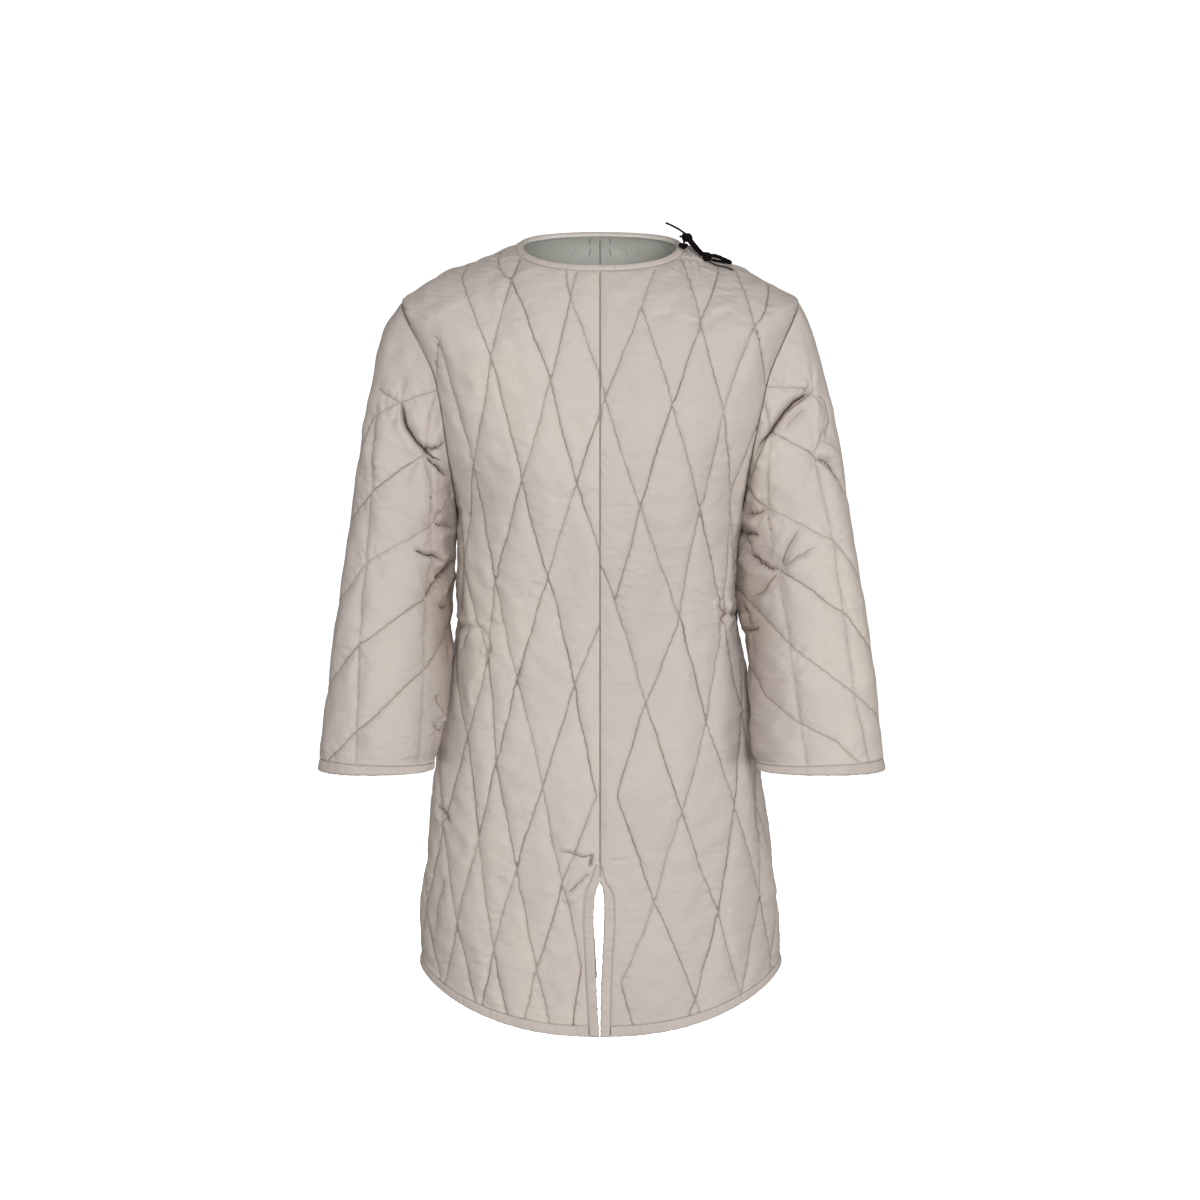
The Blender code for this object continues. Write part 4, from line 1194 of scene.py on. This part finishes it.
def gap_to(ring, points):
    """Distance from each grid point to a ring, worked out at every second point."""
    every_second = points[::2, ::2]
    tree = search_tree(ring)
    gap = np.array([tree.find(point)[2] for point in every_second.reshape(-1, 3)])
    gap = np.repeat(np.repeat(gap.reshape(every_second.shape[:2]), 2, 0), 2, 1)
    return gap[:points.shape[0], :points.shape[1]]


def lining_side(cloth, base, levels, lift, rise, armhole):
    """The inner side of the wall, which leans towards the armhole's middle beside that seam."""
    lean = ease(1 - levels / 0.03) if cloth.wrap else ease(1 - gap_to(armhole, base) / 14.0)
    toward = unit(armhole.mean(axis=0) - base)
    inward = unit(-cloth.normals * (1 - lean[..., None]) + toward * lean[..., None])
    thickness = WALL + np.clip(rise, 0, 1) * LINING_RISE - LINING_RISE * 1.2
    deepest = -lift
    for axis in (0, 1):
        for shift in (-2, -1, 1, 2):
            deepest = np.maximum(deepest, np.roll(-lift, shift, axis))
    thickness = np.maximum(thickness, deepest + THINNEST)
    return base + inward * thickness[..., None]


def quilt(cloth, armhole, material):
    """One padded piece: held down along its stitches and seams, puffed between them, then creased."""
    base = cloth.grid.copy()
    interior = np.zeros(base.shape[:2], bool)
    interior[2:-2] = True
    if not cloth.wrap:
        interior[:, :2] = interior[:, -2:] = False
    stitches = drawn_lines(stitch_routes(cloth))
    distance, nearest, stitched = draw_onto(stitches, base, cloth.normals, interior)
    run, thread = stitches.runs[nearest], stitches.strengths[nearest]
    folds = fold_routes(cloth)
    # the creases' sharp bottoms, each with how dark its painted shadow is
    troughs = drawn_lines([(places, -height / FULL_CREASE * taper)
                           for places, _, height, taper in folds if height < SHARP])
    groove, nearest, _ = draw_onto(troughs, base, cloth.normals, interior & ~stitched)
    depth = troughs.strengths[nearest]

    sewn = sewn_places(cloth)
    rise = padding(cloth, stitched | sewn.rim, SLEEVE_PUFF.soft if cloth.wrap else BODY_PUFF.soft)
    lift = puffed(cloth, base, sewn, rise, distance, run)
    folded, creased = raise_folds(base, folds)
    add_pinches(cloth, base, folded)
    lift += folded * ease((sewn.seam + 1.0) / 6.0)
    if cloth.wrap:
        lift = shape_sleeve(cloth, sewn, lift)
    lift = np.where(sewn.covered, -SINK, np.where(sewn.rim, -SEAM_SINK, lift))
    outer = base + cloth.normals * lift[..., None]
    inner = lining_side(cloth, base, sewn.levels, lift, rise, armhole)
    for surface in (outer, inner):
        open_hairlines(cloth, surface)

    facing = np.full(distance.shape, NO_STITCH)
    if cloth.kind == "back":
        facing = np.abs(cloth.columns - FACING_STRIP)
    values = {
        "stitch": np.where(sewn.covered, NO_STITCH, np.minimum(distance, 1.7 * np.maximum(sewn.seam, 0.0))),
        "run": run,
        "thread": np.where(sewn.seam < distance, SEAM_THREAD, thread),
        # strength of the painted shade in the folds' creases
        "crease": creased * ease(sewn.seam / 6.0),
        # painted shade along the sleeves' inner sides, where the body shades them
        "worn": inner_sleeve_painted_shade(cloth, sewn),
        # distance to a sharp crease's bottom and how dark its painted shadow is
        "groove": groove,
        "depth": depth * ease(sewn.seam / 4.0),
        "facing": facing,
        "tone": np.full(distance.shape, TONES.get(cloth.name, 0.0)),
    }
    return wall_mesh(cloth, outer, inner, values, material)


def along_edge(cloth):
    """A distance round or up a piece's edges, for the gathers."""
    if cloth.wrap:
        return np.broadcast_to(np.arange(cloth.grid.shape[1])[None, :] * 2.2, cloth.grid.shape[:2])
    return cloth.grid[..., 2] * 0.9 + cloth.grid[..., 0] * 0.9


def open_hairlines(cloth, surface):
    """Draws a side of the wall back from its seams by half of their hairline gaps."""
    if cloth.wrap:
        surface[0] += HAIRLINE * unit(surface[2] - surface[0])
        return
    centre = unit(surface[:, 2] - surface[:, 0]) * HAIRLINE
    centre[cloth.rows <= SLIT_TOP] = 0
    surface[:, 0] += centre
    slack = np.where((cloth.rows > SHOULDER_TIP) & (cloth.side == "left"), SHOULDER_SLACK / 2, HAIRLINE)
    surface[:, -1] += unit(surface[:, -3] - surface[:, -1]) * slack[:, None]


# ------------------------------------------------------------------ bindings
def strip_end(ring):
    """Triangles that close a strip's end, across its folded outline."""
    out = []
    for k in range(len(ring) // 2 - 1):
        a, b, c, d = ring[k], ring[k + 1], ring[-k - 2], ring[-k - 1]
        out += [(a, c, b), (a, d, c)]
    return np.array(out)


def binding(name, edge, band, material, seed, closed=False, dying=0.0, reach=None, lined=0.0):
    """A strip folded over a cut edge. edge and band are (outer points, inner points, normals) along the
    cloth's edge and along the line where the strip is stitched down. Over its last stretch, dying mm
    long, the strip flattens into the cloth. reach is how far the fold stands off the edge, and lined how
    far the inner half has the lining's colour."""
    edge_out, edge_in, edge_normal = edge
    band_out, band_in, band_normal = band
    away = unit((edge_out + edge_in) / 2 - (band_out + band_in) / 2)
    stations = len(edge_out)
    run = np.arange(stations) * STRIP_STEP if closed else lengths_along(edge_out)
    gather = waves_along(run, 5.2, seed) * 0.5 + waves_along(run, 11.0, seed + 1) * 0.5
    tick = np.clip(-waves_along(run, 4.6, seed + 2) - 0.35, 0, 1)
    if closed:
        blend = ease(np.minimum(np.arange(stations), stations - np.arange(stations)) / 8.0)
        gather, tick = gather * blend, tick * blend
    fold = np.full(stations, EDGE_GAP + BINDING) if reach is None else reach
    puff = 1 + 0.30 * gather - 0.3 * tick
    if dying:
        puff = puff * (0.1 + 0.9 * ease((run[-1] - run) / dying))

    def outside(share, height):
        """The strip's line at a share of the way to the edge, standing off the cloth's outer side."""
        normal = unit(band_normal * (1 - share) + edge_normal * share)
        return band_out * (1 - share) + edge_out * share + normal * (height * puff)[:, None]

    def inside(share, height):
        normal = unit(band_normal * (1 - share) + edge_normal * share)
        return band_in * (1 - share) + edge_in * share - normal * (height * puff)[:, None]

    rings = [outside(share, height) for share, height in STRIP_OUTSIDE]
    top = edge_out + edge_normal * PROUD
    low = edge_in - edge_normal * PROUD
    middle, half = (top + low) / 2, (top - low) / 2
    for angle in math.pi * np.linspace(0.5, -0.5, STRIP_FOLD):
        bulge = away * (fold * math.cos(angle) * (1 + 0.25 * gather))[:, None]
        rings.append(middle + half * math.sin(angle) + bulge)
    rings += [inside(share, height) for share, height in STRIP_INSIDE]
    seen = len(rings)
    # back along the hidden side of the strip
    shrink = away * (fold * 0.17)[:, None]
    rings += [inside(0.5, 0.2), edge_in - edge_normal * 0.1 + shrink, middle + away * (fold * 0.4)[:, None],
              edge_out + edge_normal * 0.1 + shrink, outside(0.5, 0.2), outside(0.12, -0.7)]
    points = np.stack(rings, axis=1)
    corners = points.shape[1]
    index = np.arange(stations * corners).reshape(stations, corners)
    triangles = [quad_triangles(*cells(index, closed, True))]
    if not closed:
        triangles += [strip_end(index[0]), strip_end(index[-1])[:, ::-1]]
    flat = points.reshape(-1, 3)
    hidden = np.zeros(corners - seen)
    across = np.r_[np.linspace(0, 1, seen), np.linspace(1, 0, corners - seen)]
    unlined = np.zeros(seen - len(STRIP_INSIDE) - LINING_TURN)
    colour = np.r_[unlined, np.linspace(0, lined, LINING_TURN), np.full(len(STRIP_INSIDE), lined), hidden]
    values = {"run": np.repeat(run, corners), "across": np.tile(across, stations),
              "tick": np.repeat(tick, corners), "lined": np.tile(colour, stations)}
    return add_mesh(name, flat, facing_out(flat, np.vstack(triangles)), material, values)


def edge_lines(cloth, across, levels):
    """Outer points, inner points and normals along a line on a piece."""
    points, normals, _ = cloth.place(across, levels)
    return points, points - normals * WALL, normals


def move_ends(line, amount, ends=("first", "last")):
    """Draws the ends of a line's outer and inner points in by an amount, or out where it is negative."""
    pairs = {"first": (0, 1), "last": (-1, -2)}
    for surface in line[:2]:
        for end, beside in (pairs[name] for name in ends):
            surface[end] += amount * unit(surface[beside] - surface[end])


def slit_strip(cloth, material, seed):
    """The binding of one slit edge, from the hem up to where it runs out into the centre seam."""
    levels = np.linspace(HEM, SLIT_TOP, int((SLIT_TOP - HEM) / STRIP_STEP))
    start = np.interp(levels, cloth.rows, cloth.columns[:, 0])
    edge = edge_lines(cloth, start, levels)
    band = edge_lines(cloth, start + slit_band(cloth.side, levels) - SEAM_GAP, levels)
    for line in (edge, band):
        move_ends(line, -PROUD, ends=("first",))
    reach = np.maximum(slit_edge(cloth.kind, cloth.side, levels)[1], 0.05)
    name = "slit_binding_" + cloth.name
    return name, binding(name, edge, band, material, seed, dying=16.0, reach=reach), edge


def hem_strip(cloth, material, seed):
    """The binding of one panel's hem, from the slit's binding to the side seam."""
    first, end = cloth.columns[0, 0] + SLIT_BAND, cloth.columns[0, -1]
    across = np.linspace(first, end, int((end - first) / STRIP_STEP))
    edge = edge_lines(cloth, across, np.full(len(across), HEM))
    first, end = (np.interp(HEM_SEAM, cloth.rows, cloth.columns[:, column]) for column in (0, -1))
    across = np.linspace(first + SLIT_BAND, end - INSIDE_EDGE, len(across))
    band = edge_lines(cloth, across, np.full(len(across), HEM_SEAM))
    for line in (edge, band):
        move_ends(line, SEAM_GAP / 2)
    name = "hem_binding_" + cloth.name
    return name, binding(name, edge, band, material, seed), edge


def cuff_strip(cloth, material, seed):
    """The binding round one cuff."""
    around = np.linspace(0, 1, CUFF_STATIONS, endpoint=False)
    edge = edge_lines(cloth, around, np.ones(len(around)))
    band = edge_lines(cloth, around, np.full(len(around), CUFF_SEAM))
    name = "cuff_binding_" + cloth.side
    return name, binding(name, edge, band, material, seed, closed=True), edge


def neck_strip(cloths, material, seed):
    """The binding round the neck: one strip from the open left shoulder, round the front to the back."""
    lines = []
    for level in (NECK, NECK_SEAM):
        parts = []
        for name, backwards in (("front_left", True), ("front_right", False), ("back_right", True),
                                ("back_left", False)):
            cloth = cloths[name]
            last = np.interp(level, cloth.rows, cloth.columns[:, -1]) - INSIDE_EDGE
            ends = (last, 0) if backwards else (0, last)
            across = np.linspace(*ends, NECK_STATIONS)
            part = edge_lines(cloth, across, np.full(len(across), level))
            parts.append(tuple(field[1:] for field in part) if parts else part)
        lines.append(tuple(np.vstack(fields) for fields in zip(*parts)))
    for outer, inner, normals in lines:
        move_ends((outer, inner), (SHOULDER_SLACK + SEAM_GAP) / 2)
        outer -= normals * NECK_PRESSED
        inner += normals * NECK_PRESSED
    edge, band = lines
    reach = np.full(len(edge[0]), NECK_FOLD)
    name = "neck_binding"
    return name, binding(name, edge, band, material, seed, reach=reach, lined=NECK_LINED), edge


def add_bindings(cloths, material):
    """Every binding by its name, with its length along the outer side of the cloth's edge."""
    strips = []
    for side in SIDES:
        for face in FACES:
            for make in (slit_strip, hem_strip):
                strips.append(make(cloths[face + "_" + side], material, seed=len(strips) * 7))
        strips.append(cuff_strip(cloths["sleeve_" + side], material, seed=len(strips) * 7))
    strips.append(neck_strip(cloths, material, seed=91))
    return {name: (strip, lengths_along(edge[0])[-1]) for name, strip, edge in strips}


# ------------------------------------------------------------------ laces
def tube(route, thickness, closed=False, swell=EVEN):
    """A braided lace along a route: a tube with the braid's fine relief, thicker where it is crushed."""
    if closed:
        tangent = unit(np.roll(route, -1, 0) - np.roll(route, 1, 0))
    else:
        tangent = unit(np.gradient(route, axis=0))
    first = unit(np.cross(tangent, np.array([0.0, 0.0, 1.0])))
    second = np.cross(tangent, first)
    count = len(route)
    run = np.arange(count) * float(np.linalg.norm(route[1] - route[0]))
    angle = np.linspace(0, 2 * math.pi, LACE_SIDES, endpoint=False)
    twist = 2 * math.pi * run / (BRAID_PITCH * thickness)
    left, right = (np.sin(4 * angle[None, :] + way * twist[:, None]) for way in (1, -1))
    relief = BRAID_RELIEF * left * right - 0.03
    radius = thickness / 2 * (1 + relief) * np.interp(run / run[-1], SWELL_PLACES, swell)[:, None]
    if not closed:
        from_end = np.clip(np.minimum(run, run[-1] - run) / (0.35 * thickness), 0, 1)
        radius = radius * np.sqrt(np.clip(1 - (1 - from_end) ** 2, 0.05, 1))[:, None]
    ring = (route[:, None, :] + radius[..., None] * (np.cos(angle)[None, :, None] * first[:, None, :]
                                                     + np.sin(angle)[None, :, None] * second[:, None, :]))
    index = np.arange(count * LACE_SIDES).reshape(count, LACE_SIDES)
    triangles = [quad_triangles(*cells(index, closed, True))]
    flat = ring.reshape(-1, 3)
    if not closed:
        flat = np.vstack([flat, route[0], route[-1]])
        start, end = (np.full(LACE_SIDES, index.size + k) for k in (0, 1))
        triangles.append(np.stack([np.roll(index[0], -1), index[0], start], 1))
        triangles.append(np.stack([index[-1], np.roll(index[-1], -1), end], 1))
    return flat, facing_out(flat, np.vstack(triangles))


def knot_route(name, middle, half, thickness):
    """An overhand knot pulled tight: a lace that winds through itself, one turn looser than the other."""
    t = np.linspace(0, 2 * math.pi, KNOT_STATIONS, endpoint=False)
    route = np.stack([np.sin(t) + 1.6 * np.sin(2 * t), np.cos(t) - 1.6 * np.cos(2 * t),
                      -1.4 * np.sin(3 * t)], 1)
    route *= (1 + 0.16 * np.sin(t + len(name)) + 0.08 * np.sin(3 * t + 1.0))[:, None]
    if name in TURNED_KNOTS:
        route = route[:, [0, 2, 1]]
    low, high = route.min(axis=0), route.max(axis=0)
    route = (2 * (route - low) / (high - low) - 1) * (KNOT_SWELL * np.array(half) - thickness / 2)
    return route + np.array(middle)


def add_laces(material):
    """Every lace and knot."""
    pieces = []
    for name, (thickness, route) in LACES.items():
        fine = smooth_route(route, LACE_STEP)
        skin = tube(fine, thickness, swell=LACE_SWELL.get(name, EVEN))
        piece = add_mesh(name, *skin, material)
        pieces.append(piece)
    for name, (middle, half) in KNOTS.items():
        thickness = KNOTTED_LACE * min(half)
        flat, triangles = tube(knot_route(name, middle, half, thickness), thickness, closed=True)
        if name in STUBS:
            stub, more = tube(smooth_route(STUBS[name], LACE_STEP), STUB_THICKNESS)
            flat, triangles = np.vstack([flat, stub]), np.vstack([triangles, more + len(flat)])
        pieces.append(add_mesh(name, flat, triangles, material))
    return pieces


# ------------------------------------------------------------------ finishes
CLOTH_ROSE = (0.606, 0.544, 0.514)
CLOTH_CREAM = (0.630, 0.575, 0.515)
CLOTH_GREY = (0.568, 0.530, 0.498)
CLOTH_DARK = (0.370, 0.315, 0.270)
CLOTH_DULL = (0.520, 0.465, 0.440)
# colour of the painted shade in the folds' creases
CREASE_SHADE = (0.260, 0.200, 0.160)
# colour of the painted shade on the sleeves' inner sides
INNER_SLEEVE_SHADE = (0.200, 0.142, 0.112)
# painted shadow at the bottom of a sharp crease, and the dark edge lines of the facing strip
CREASE_DARK = (0.085, 0.060, 0.045)
THREAD_LINE = (0.190, 0.148, 0.115)
LINING_GREY = (0.920, 0.935, 0.870)
TAPE_CREAM = (0.590, 0.530, 0.490)
TAPE_GREY = (0.550, 0.490, 0.460)
LACE_BLACK = (0.003, 0.0028, 0.0028)
LACE_WORN = (0.012, 0.010, 0.010)
STITCH_LENGTH = 3.3     # one stitch and the gap after it, in mm


class Nodes:
    """Short calls for making a material's nodes."""

    def __init__(self, name):
        self.material = bpy.data.materials.new(name)
        self.material.use_nodes = True
        self.tree = self.material.node_tree
        self.shader = self.tree.nodes["Principled BSDF"]
        self.object = self.add("ShaderNodeTexCoord").outputs["Object"]

    def add(self, kind, inputs=(), **settings):
        node = self.tree.nodes.new(kind)
        for key, value in settings.items():
            setattr(node, key, value)
        for key, value in dict(inputs).items():
            if isinstance(value, bpy.types.NodeSocket):
                self.tree.links.new(value, node.inputs[key])
            else:
                node.inputs[key].default_value = value
        return node

    def math(self, operation, a, b=0.0, clamp=False):
        return self.add("ShaderNodeMath", {0: a, 1: b}, operation=operation, use_clamp=clamp).outputs[0]

    def times(self, a, b):
        return self.math("MULTIPLY", a, b)

    def plus(self, a, b):
        return self.math("ADD", a, b)

    def attribute(self, name):
        return self.add("ShaderNodeAttribute", attribute_name=name).outputs["Fac"]

    def noise(self, scale, detail=3.0, stretch=(1, 1, 1), roughness=0.5):
        place = self.add("ShaderNodeMapping", {"Vector": self.object, "Scale": stretch}).outputs[0]
        return self.add("ShaderNodeTexNoise", {"Vector": place, "Scale": scale, "Detail": detail,
                                               "Roughness": roughness}).outputs["Fac"]

    def ramp(self, value, low, high, to_low=0.0, to_high=1.0):
        return self.add("ShaderNodeMapRange", {"Value": value, "From Min": low, "From Max": high,
                                               "To Min": to_low, "To Max": to_high},
                        interpolation_type="SMOOTHSTEP").outputs[0]

    def mix(self, factor, a, b):
        node = self.add("ShaderNodeMix", data_type="RGBA")
        for socket, value in ((0, factor), (6, a), (7, b)):
            if isinstance(value, bpy.types.NodeSocket):
                self.tree.links.new(value, node.inputs[socket])
            else:
                node.inputs[socket].default_value = value if socket == 0 else (*value, 1)
        return node.outputs[2]

    def finish(self, color, roughness, height, distance, sheen=0.0, specular=0.25):
        """Joins the colour and the relief to the shader, the relief being distance metres deep."""
        links = self.tree.links
        links.new(color, self.shader.inputs["Base Color"])
        self.shader.inputs["Roughness"].default_value = roughness
        self.shader.inputs["Sheen Weight"].default_value = sheen
        self.shader.inputs["Sheen Roughness"].default_value = 0.5
        self.shader.inputs["Specular IOR Level"].default_value = specular
        bump = self.add("ShaderNodeBump", {"Height": height, "Distance": distance, "Strength": 1.0})
        links.new(bump.outputs[0], self.shader.inputs["Normal"])
        return self.material


def weave(n):
    """Plain weave with uneven yarns, as a height from 0 to 1, and its thick yarns on their own."""
    fine = n.noise(1500, 2.0, stretch=(1, 1, 0.22))
    cross = n.noise(1500, 2.0, stretch=(0.22, 0.22, 1))
    slub = n.noise(260, 3.0, stretch=(0.12, 0.12, 1))
    height = n.plus(n.times(fine, 0.4), n.times(cross, 0.4))
    return n.plus(height, n.times(slub, 0.35)), slub


def thread_line(n, stitch, thread):
    """How dark the thread shows along a quilting line, which is uneven and broken into stitches."""
    place = n.math("SUBTRACT", n.math("MODULO", n.attribute("run"), STITCH_LENGTH), STITCH_LENGTH / 2)
    dash = n.ramp(n.math("ABSOLUTE", place), 1.1, 1.5, 1.0, 0.72)
    width = n.times(n.ramp(n.noise(170, 2.0), 0.25, 0.75, 0.55, 1.15), 1.15)
    line = n.ramp(n.math("DIVIDE", stitch, width), 1.15, 0.35)
    line = n.times(n.times(line, dash), n.ramp(n.noise(22, 2.0), 0.3, 0.7, 0.62, 1.0))
    return n.times(line, thread)


def quilted_cotton():
    """Unbleached canvas, blotched and streaked, with painted shade beside its stitches, in its creases and
    along the sleeves' inner sides. Its lining side is a plain paler cotton."""
    n = Nodes("quilted_cotton_canvas")
    yarns, slub = weave(n)
    stitch, thread, lining = n.attribute("stitch"), n.attribute("thread"), n.attribute("lining")
    blotch = n.ramp(n.noise(7, 3.0), 0.36, 0.66)
    streak = n.ramp(n.noise(26, 4.0, stretch=(1, 1, 0.3)), 0.35, 0.7)
    cloth = n.mix(blotch, CLOTH_ROSE, CLOTH_CREAM)
    cloth = n.mix(n.times(streak, 0.30), cloth, CLOTH_GREY)
    cloth = n.mix(n.ramp(slub, 0.62, 0.82, 0.0, 0.22), cloth, CLOTH_DARK)
    cloth = n.mix(n.times(n.attribute("tone"), 0.5), cloth, CLOTH_DULL)
    # painted shade in the grooves beside the stitches, uneven along them
    stitch_shade = n.times(n.ramp(stitch, 5.0, 0.0), n.ramp(n.noise(60, 3.0), 0.3, 0.7, 0.08, 0.32))
    cloth = n.mix(stitch_shade, cloth, CLOTH_DARK)
    # painted shade in the folds' creases, deeper folds darker
    cloth = n.mix(n.times(n.attribute("crease"), 0.45), cloth, CREASE_SHADE)
    # painted shade on the sleeves' inner sides, which the body shades
    worn = n.times(n.attribute("worn"), n.ramp(n.noise(24, 3.0), 0.3, 0.7, 0.72, 1.0))
    cloth = n.mix(worn, cloth, INNER_SLEEVE_SHADE)
    # painted shadow along the sharp bottom of a pressed crease, wider where the crease is deeper
    depth = n.attribute("depth")
    sharp = n.ramp(n.math("DIVIDE", n.attribute("groove"), n.plus(depth, 0.35)), 1.3, 0.3)
    cloth = n.mix(n.times(sharp, n.math("MULTIPLY", depth, 0.95, clamp=True)), cloth, CREASE_DARK)
    cloth = n.mix(thread_line(n, stitch, thread), cloth, THREAD_LINE)
    cloth = n.mix(n.times(lining, 0.94), cloth, LINING_GREY)
    facing_line = n.times(n.ramp(n.attribute("facing"), 1.6, 0.6), n.times(lining, 0.5))
    cloth = n.mix(facing_line, cloth, CREASE_DARK)
    dent = n.times(n.times(n.ramp(stitch, 1.6, 0.0), -0.8), thread)
    creased = n.times(n.noise(55, 4.0, roughness=0.55), 1.6)
    height = n.plus(n.plus(n.times(yarns, 0.35), creased), dent)
    return n.finish(cloth, 0.92, height, 0.0011, sheen=0.12)


def binding_cotton():
    """The strips' cotton: darker in its tucks and where it is stitched down."""
    n = Nodes("binding_cotton_strip")
    yarns, _ = weave(n)
    tape = n.mix(n.ramp(n.noise(18, 3.0), 0.35, 0.68), TAPE_CREAM, TAPE_GREY)
    tape = n.mix(n.ramp(n.attribute("tick"), 0.1, 0.7, 0.0, 0.16), tape, CLOTH_DARK)
    tape = n.mix(n.ramp(n.attribute("across"), 0.10, 0.02, 0.0, 0.45), tape, THREAD_LINE)
    tape = n.mix(n.attribute("lined"), tape, LINING_GREY)
    height = n.plus(n.times(yarns, 0.4), n.times(n.noise(160, 3.0), 0.7))
    return n.finish(tape, 0.9, height, 0.0009, sheen=0.1)


def black_lace():
    n = Nodes("black_braid")
    fibres = n.noise(900, 2.0)
    return n.finish(n.mix(fibres, LACE_BLACK, LACE_WORN), 0.85, fibres, 0.0005, specular=0.06)


# ------------------------------------------------------------------ stage
FLOOR = -1.45
ROOM_RADIUS, ROOM_CURVE, ROOM_SIDES = 6.0, 1.5, 64
LAMPS = {       # place, aim, size and power of each soft light
    "front_softbox": ((0.9, -3.8, 0.1), (0, 0, -0.45), (1.3, 1.3), 48),
    "front_fill": ((-1.1, -3.7, -0.15), (0, 0, -0.5), (1.2, 1.2), 23),
    "top_softbox": ((0.3, -2.9, 2.4), (0, 0, -0.1), (1.2, 1.2), 37),
    "side_left": ((3.4, -2.6, -0.9), (0, 0, -0.8), (1.0, 1.6), 48),
    "side_right": ((-3.4, -2.6, -0.9), (0, 0, -0.8), (1.0, 1.6), 31),
    "back_softbox": ((-0.6, 4.0, 0.5), (0, 0, -0.45), (1.4, 1.4), 128),
}
AIR_COLOUR, AIR_STRENGTH = (1.0, 0.88, 0.79, 1), 0.14
CAMERA_PLACE, CAMERA_LENS = (0.0, -3.3, -0.15), 79.5
CAMERA_DIP = 4.979      # degrees that the camera looks down


def add_room():
    """A pale round room: a floor that curves up into the wall, and a dome over it."""
    profile = [(ROOM_RADIUS - ROOM_CURVE, FLOOR)]
    for k in range(1, 9):
        angle = math.pi / 2 * k / 8
        profile.append((ROOM_RADIUS - ROOM_CURVE + ROOM_CURVE * math.sin(angle),
                        FLOOR + ROOM_CURVE - ROOM_CURVE * math.cos(angle)))
    for k in range(1, 8):
        angle = math.pi / 2 * k / 8
        profile.append((ROOM_RADIUS * math.cos(angle), FLOOR + ROOM_CURVE + ROOM_RADIUS * math.sin(angle)))
    turns = 2 * math.pi * np.arange(ROOM_SIDES) / ROOM_SIDES
    points = [(r * math.cos(turn), r * math.sin(turn), z) for r, z in profile for turn in turns]
    index = np.arange(len(points)).reshape(len(profile), ROOM_SIDES)
    faces = [(a, d, e, b) for a, b, e, d in np.stack(cells(index, columns_join=True), axis=1).tolist()]
    faces += [index[0].tolist(), index[-1, ::-1].tolist()]
    mesh = bpy.data.meshes.new("studio_room")
    mesh.from_pydata(points, [], faces)
    mesh.shade_smooth()
    n = Nodes("studio_paper")
    n.shader.inputs["Base Color"].default_value = (0.92, 0.92, 0.92, 1)
    n.shader.inputs["Roughness"].default_value = 0.9
    n.shader.inputs["Emission Color"].default_value = (1, 1, 1, 1)
    n.shader.inputs["Emission Strength"].default_value = 0.9
    mesh.materials.append(n.material)
    room = bpy.data.objects.new("studio_room", mesh)
    room.visible_diffuse = room.visible_glossy = room.visible_shadow = False
    bpy.context.scene.collection.objects.link(room)


def add_lights():
    """The soft lights, and a faint warm light from all round."""
    for name, (place, aim, size, power) in LAMPS.items():
        light = bpy.data.lights.new(name, "AREA")
        light.shape = "RECTANGLE"
        light.size, light.size_y = size
        light.energy = power
        holder = bpy.data.objects.new(name, light)
        holder.location = place
        holder.rotation_euler = (Vector(aim) - Vector(place)).to_track_quat("-Z", "Y").to_euler()
        bpy.context.scene.collection.objects.link(holder)
    world = bpy.data.worlds.new("studio_air")
    world.use_nodes = True
    background = world.node_tree.nodes["Background"]
    background.inputs["Color"].default_value = AIR_COLOUR
    background.inputs["Strength"].default_value = AIR_STRENGTH
    bpy.context.scene.world = world
    bpy.context.scene.view_settings.view_transform = "Standard"


def add_camera():
    camera = bpy.data.cameras.new("camera")
    camera.lens, camera.sensor_width = CAMERA_LENS, 36.0
    holder = bpy.data.objects.new("camera", camera)
    holder.location = CAMERA_PLACE
    holder.rotation_euler = (math.radians(90 - CAMERA_DIP), 0, 0)
    bpy.context.scene.collection.objects.link(holder)
    bpy.context.scene.camera = holder


def declare_cut(cloth):
    """Works out the width and length of the flat piece that a panel or sleeve was cut from."""
    if cloth.wrap:
        width = lengths_along(np.vstack([cloth.grid[0], cloth.grid[0, :1]]))[-1]
        length = max(lengths_along(cloth.grid[:, column])[-1] for column in (0, RING_COLUMNS // 4))
    else:
        width = (cloth.columns[:, -1] - cloth.columns[:, 0]).max()
        length = lengths_along(cloth.grid[:, 0])[-1]
    width, length = round(width) * MM, round(length) * MM


def main():
    add_room()
    add_lights()
    add_camera()
    canvas, tape, braid = quilted_cotton(), binding_cotton(), black_lace()
    cloths = {}
    for side in SIDES:
        for cloth in (*(panel_cloth(face, side) for face in FACES), sleeve_cloth(side)):
            cloths[cloth.name] = cloth
    share_edge_normals(cloths)
    armholes = {side: armhole_ring(side, ARMHOLE_POINTS) for side in SIDES}
    quilted = {name: quilt(cloth, armholes[cloth.side], canvas) for name, cloth in cloths.items()}
    for name, cloth in cloths.items():
        declare_cut(cloth)
    for name, (piece, length) in add_bindings(cloths, tape).items():
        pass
    for piece in add_laces(braid):
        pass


main()
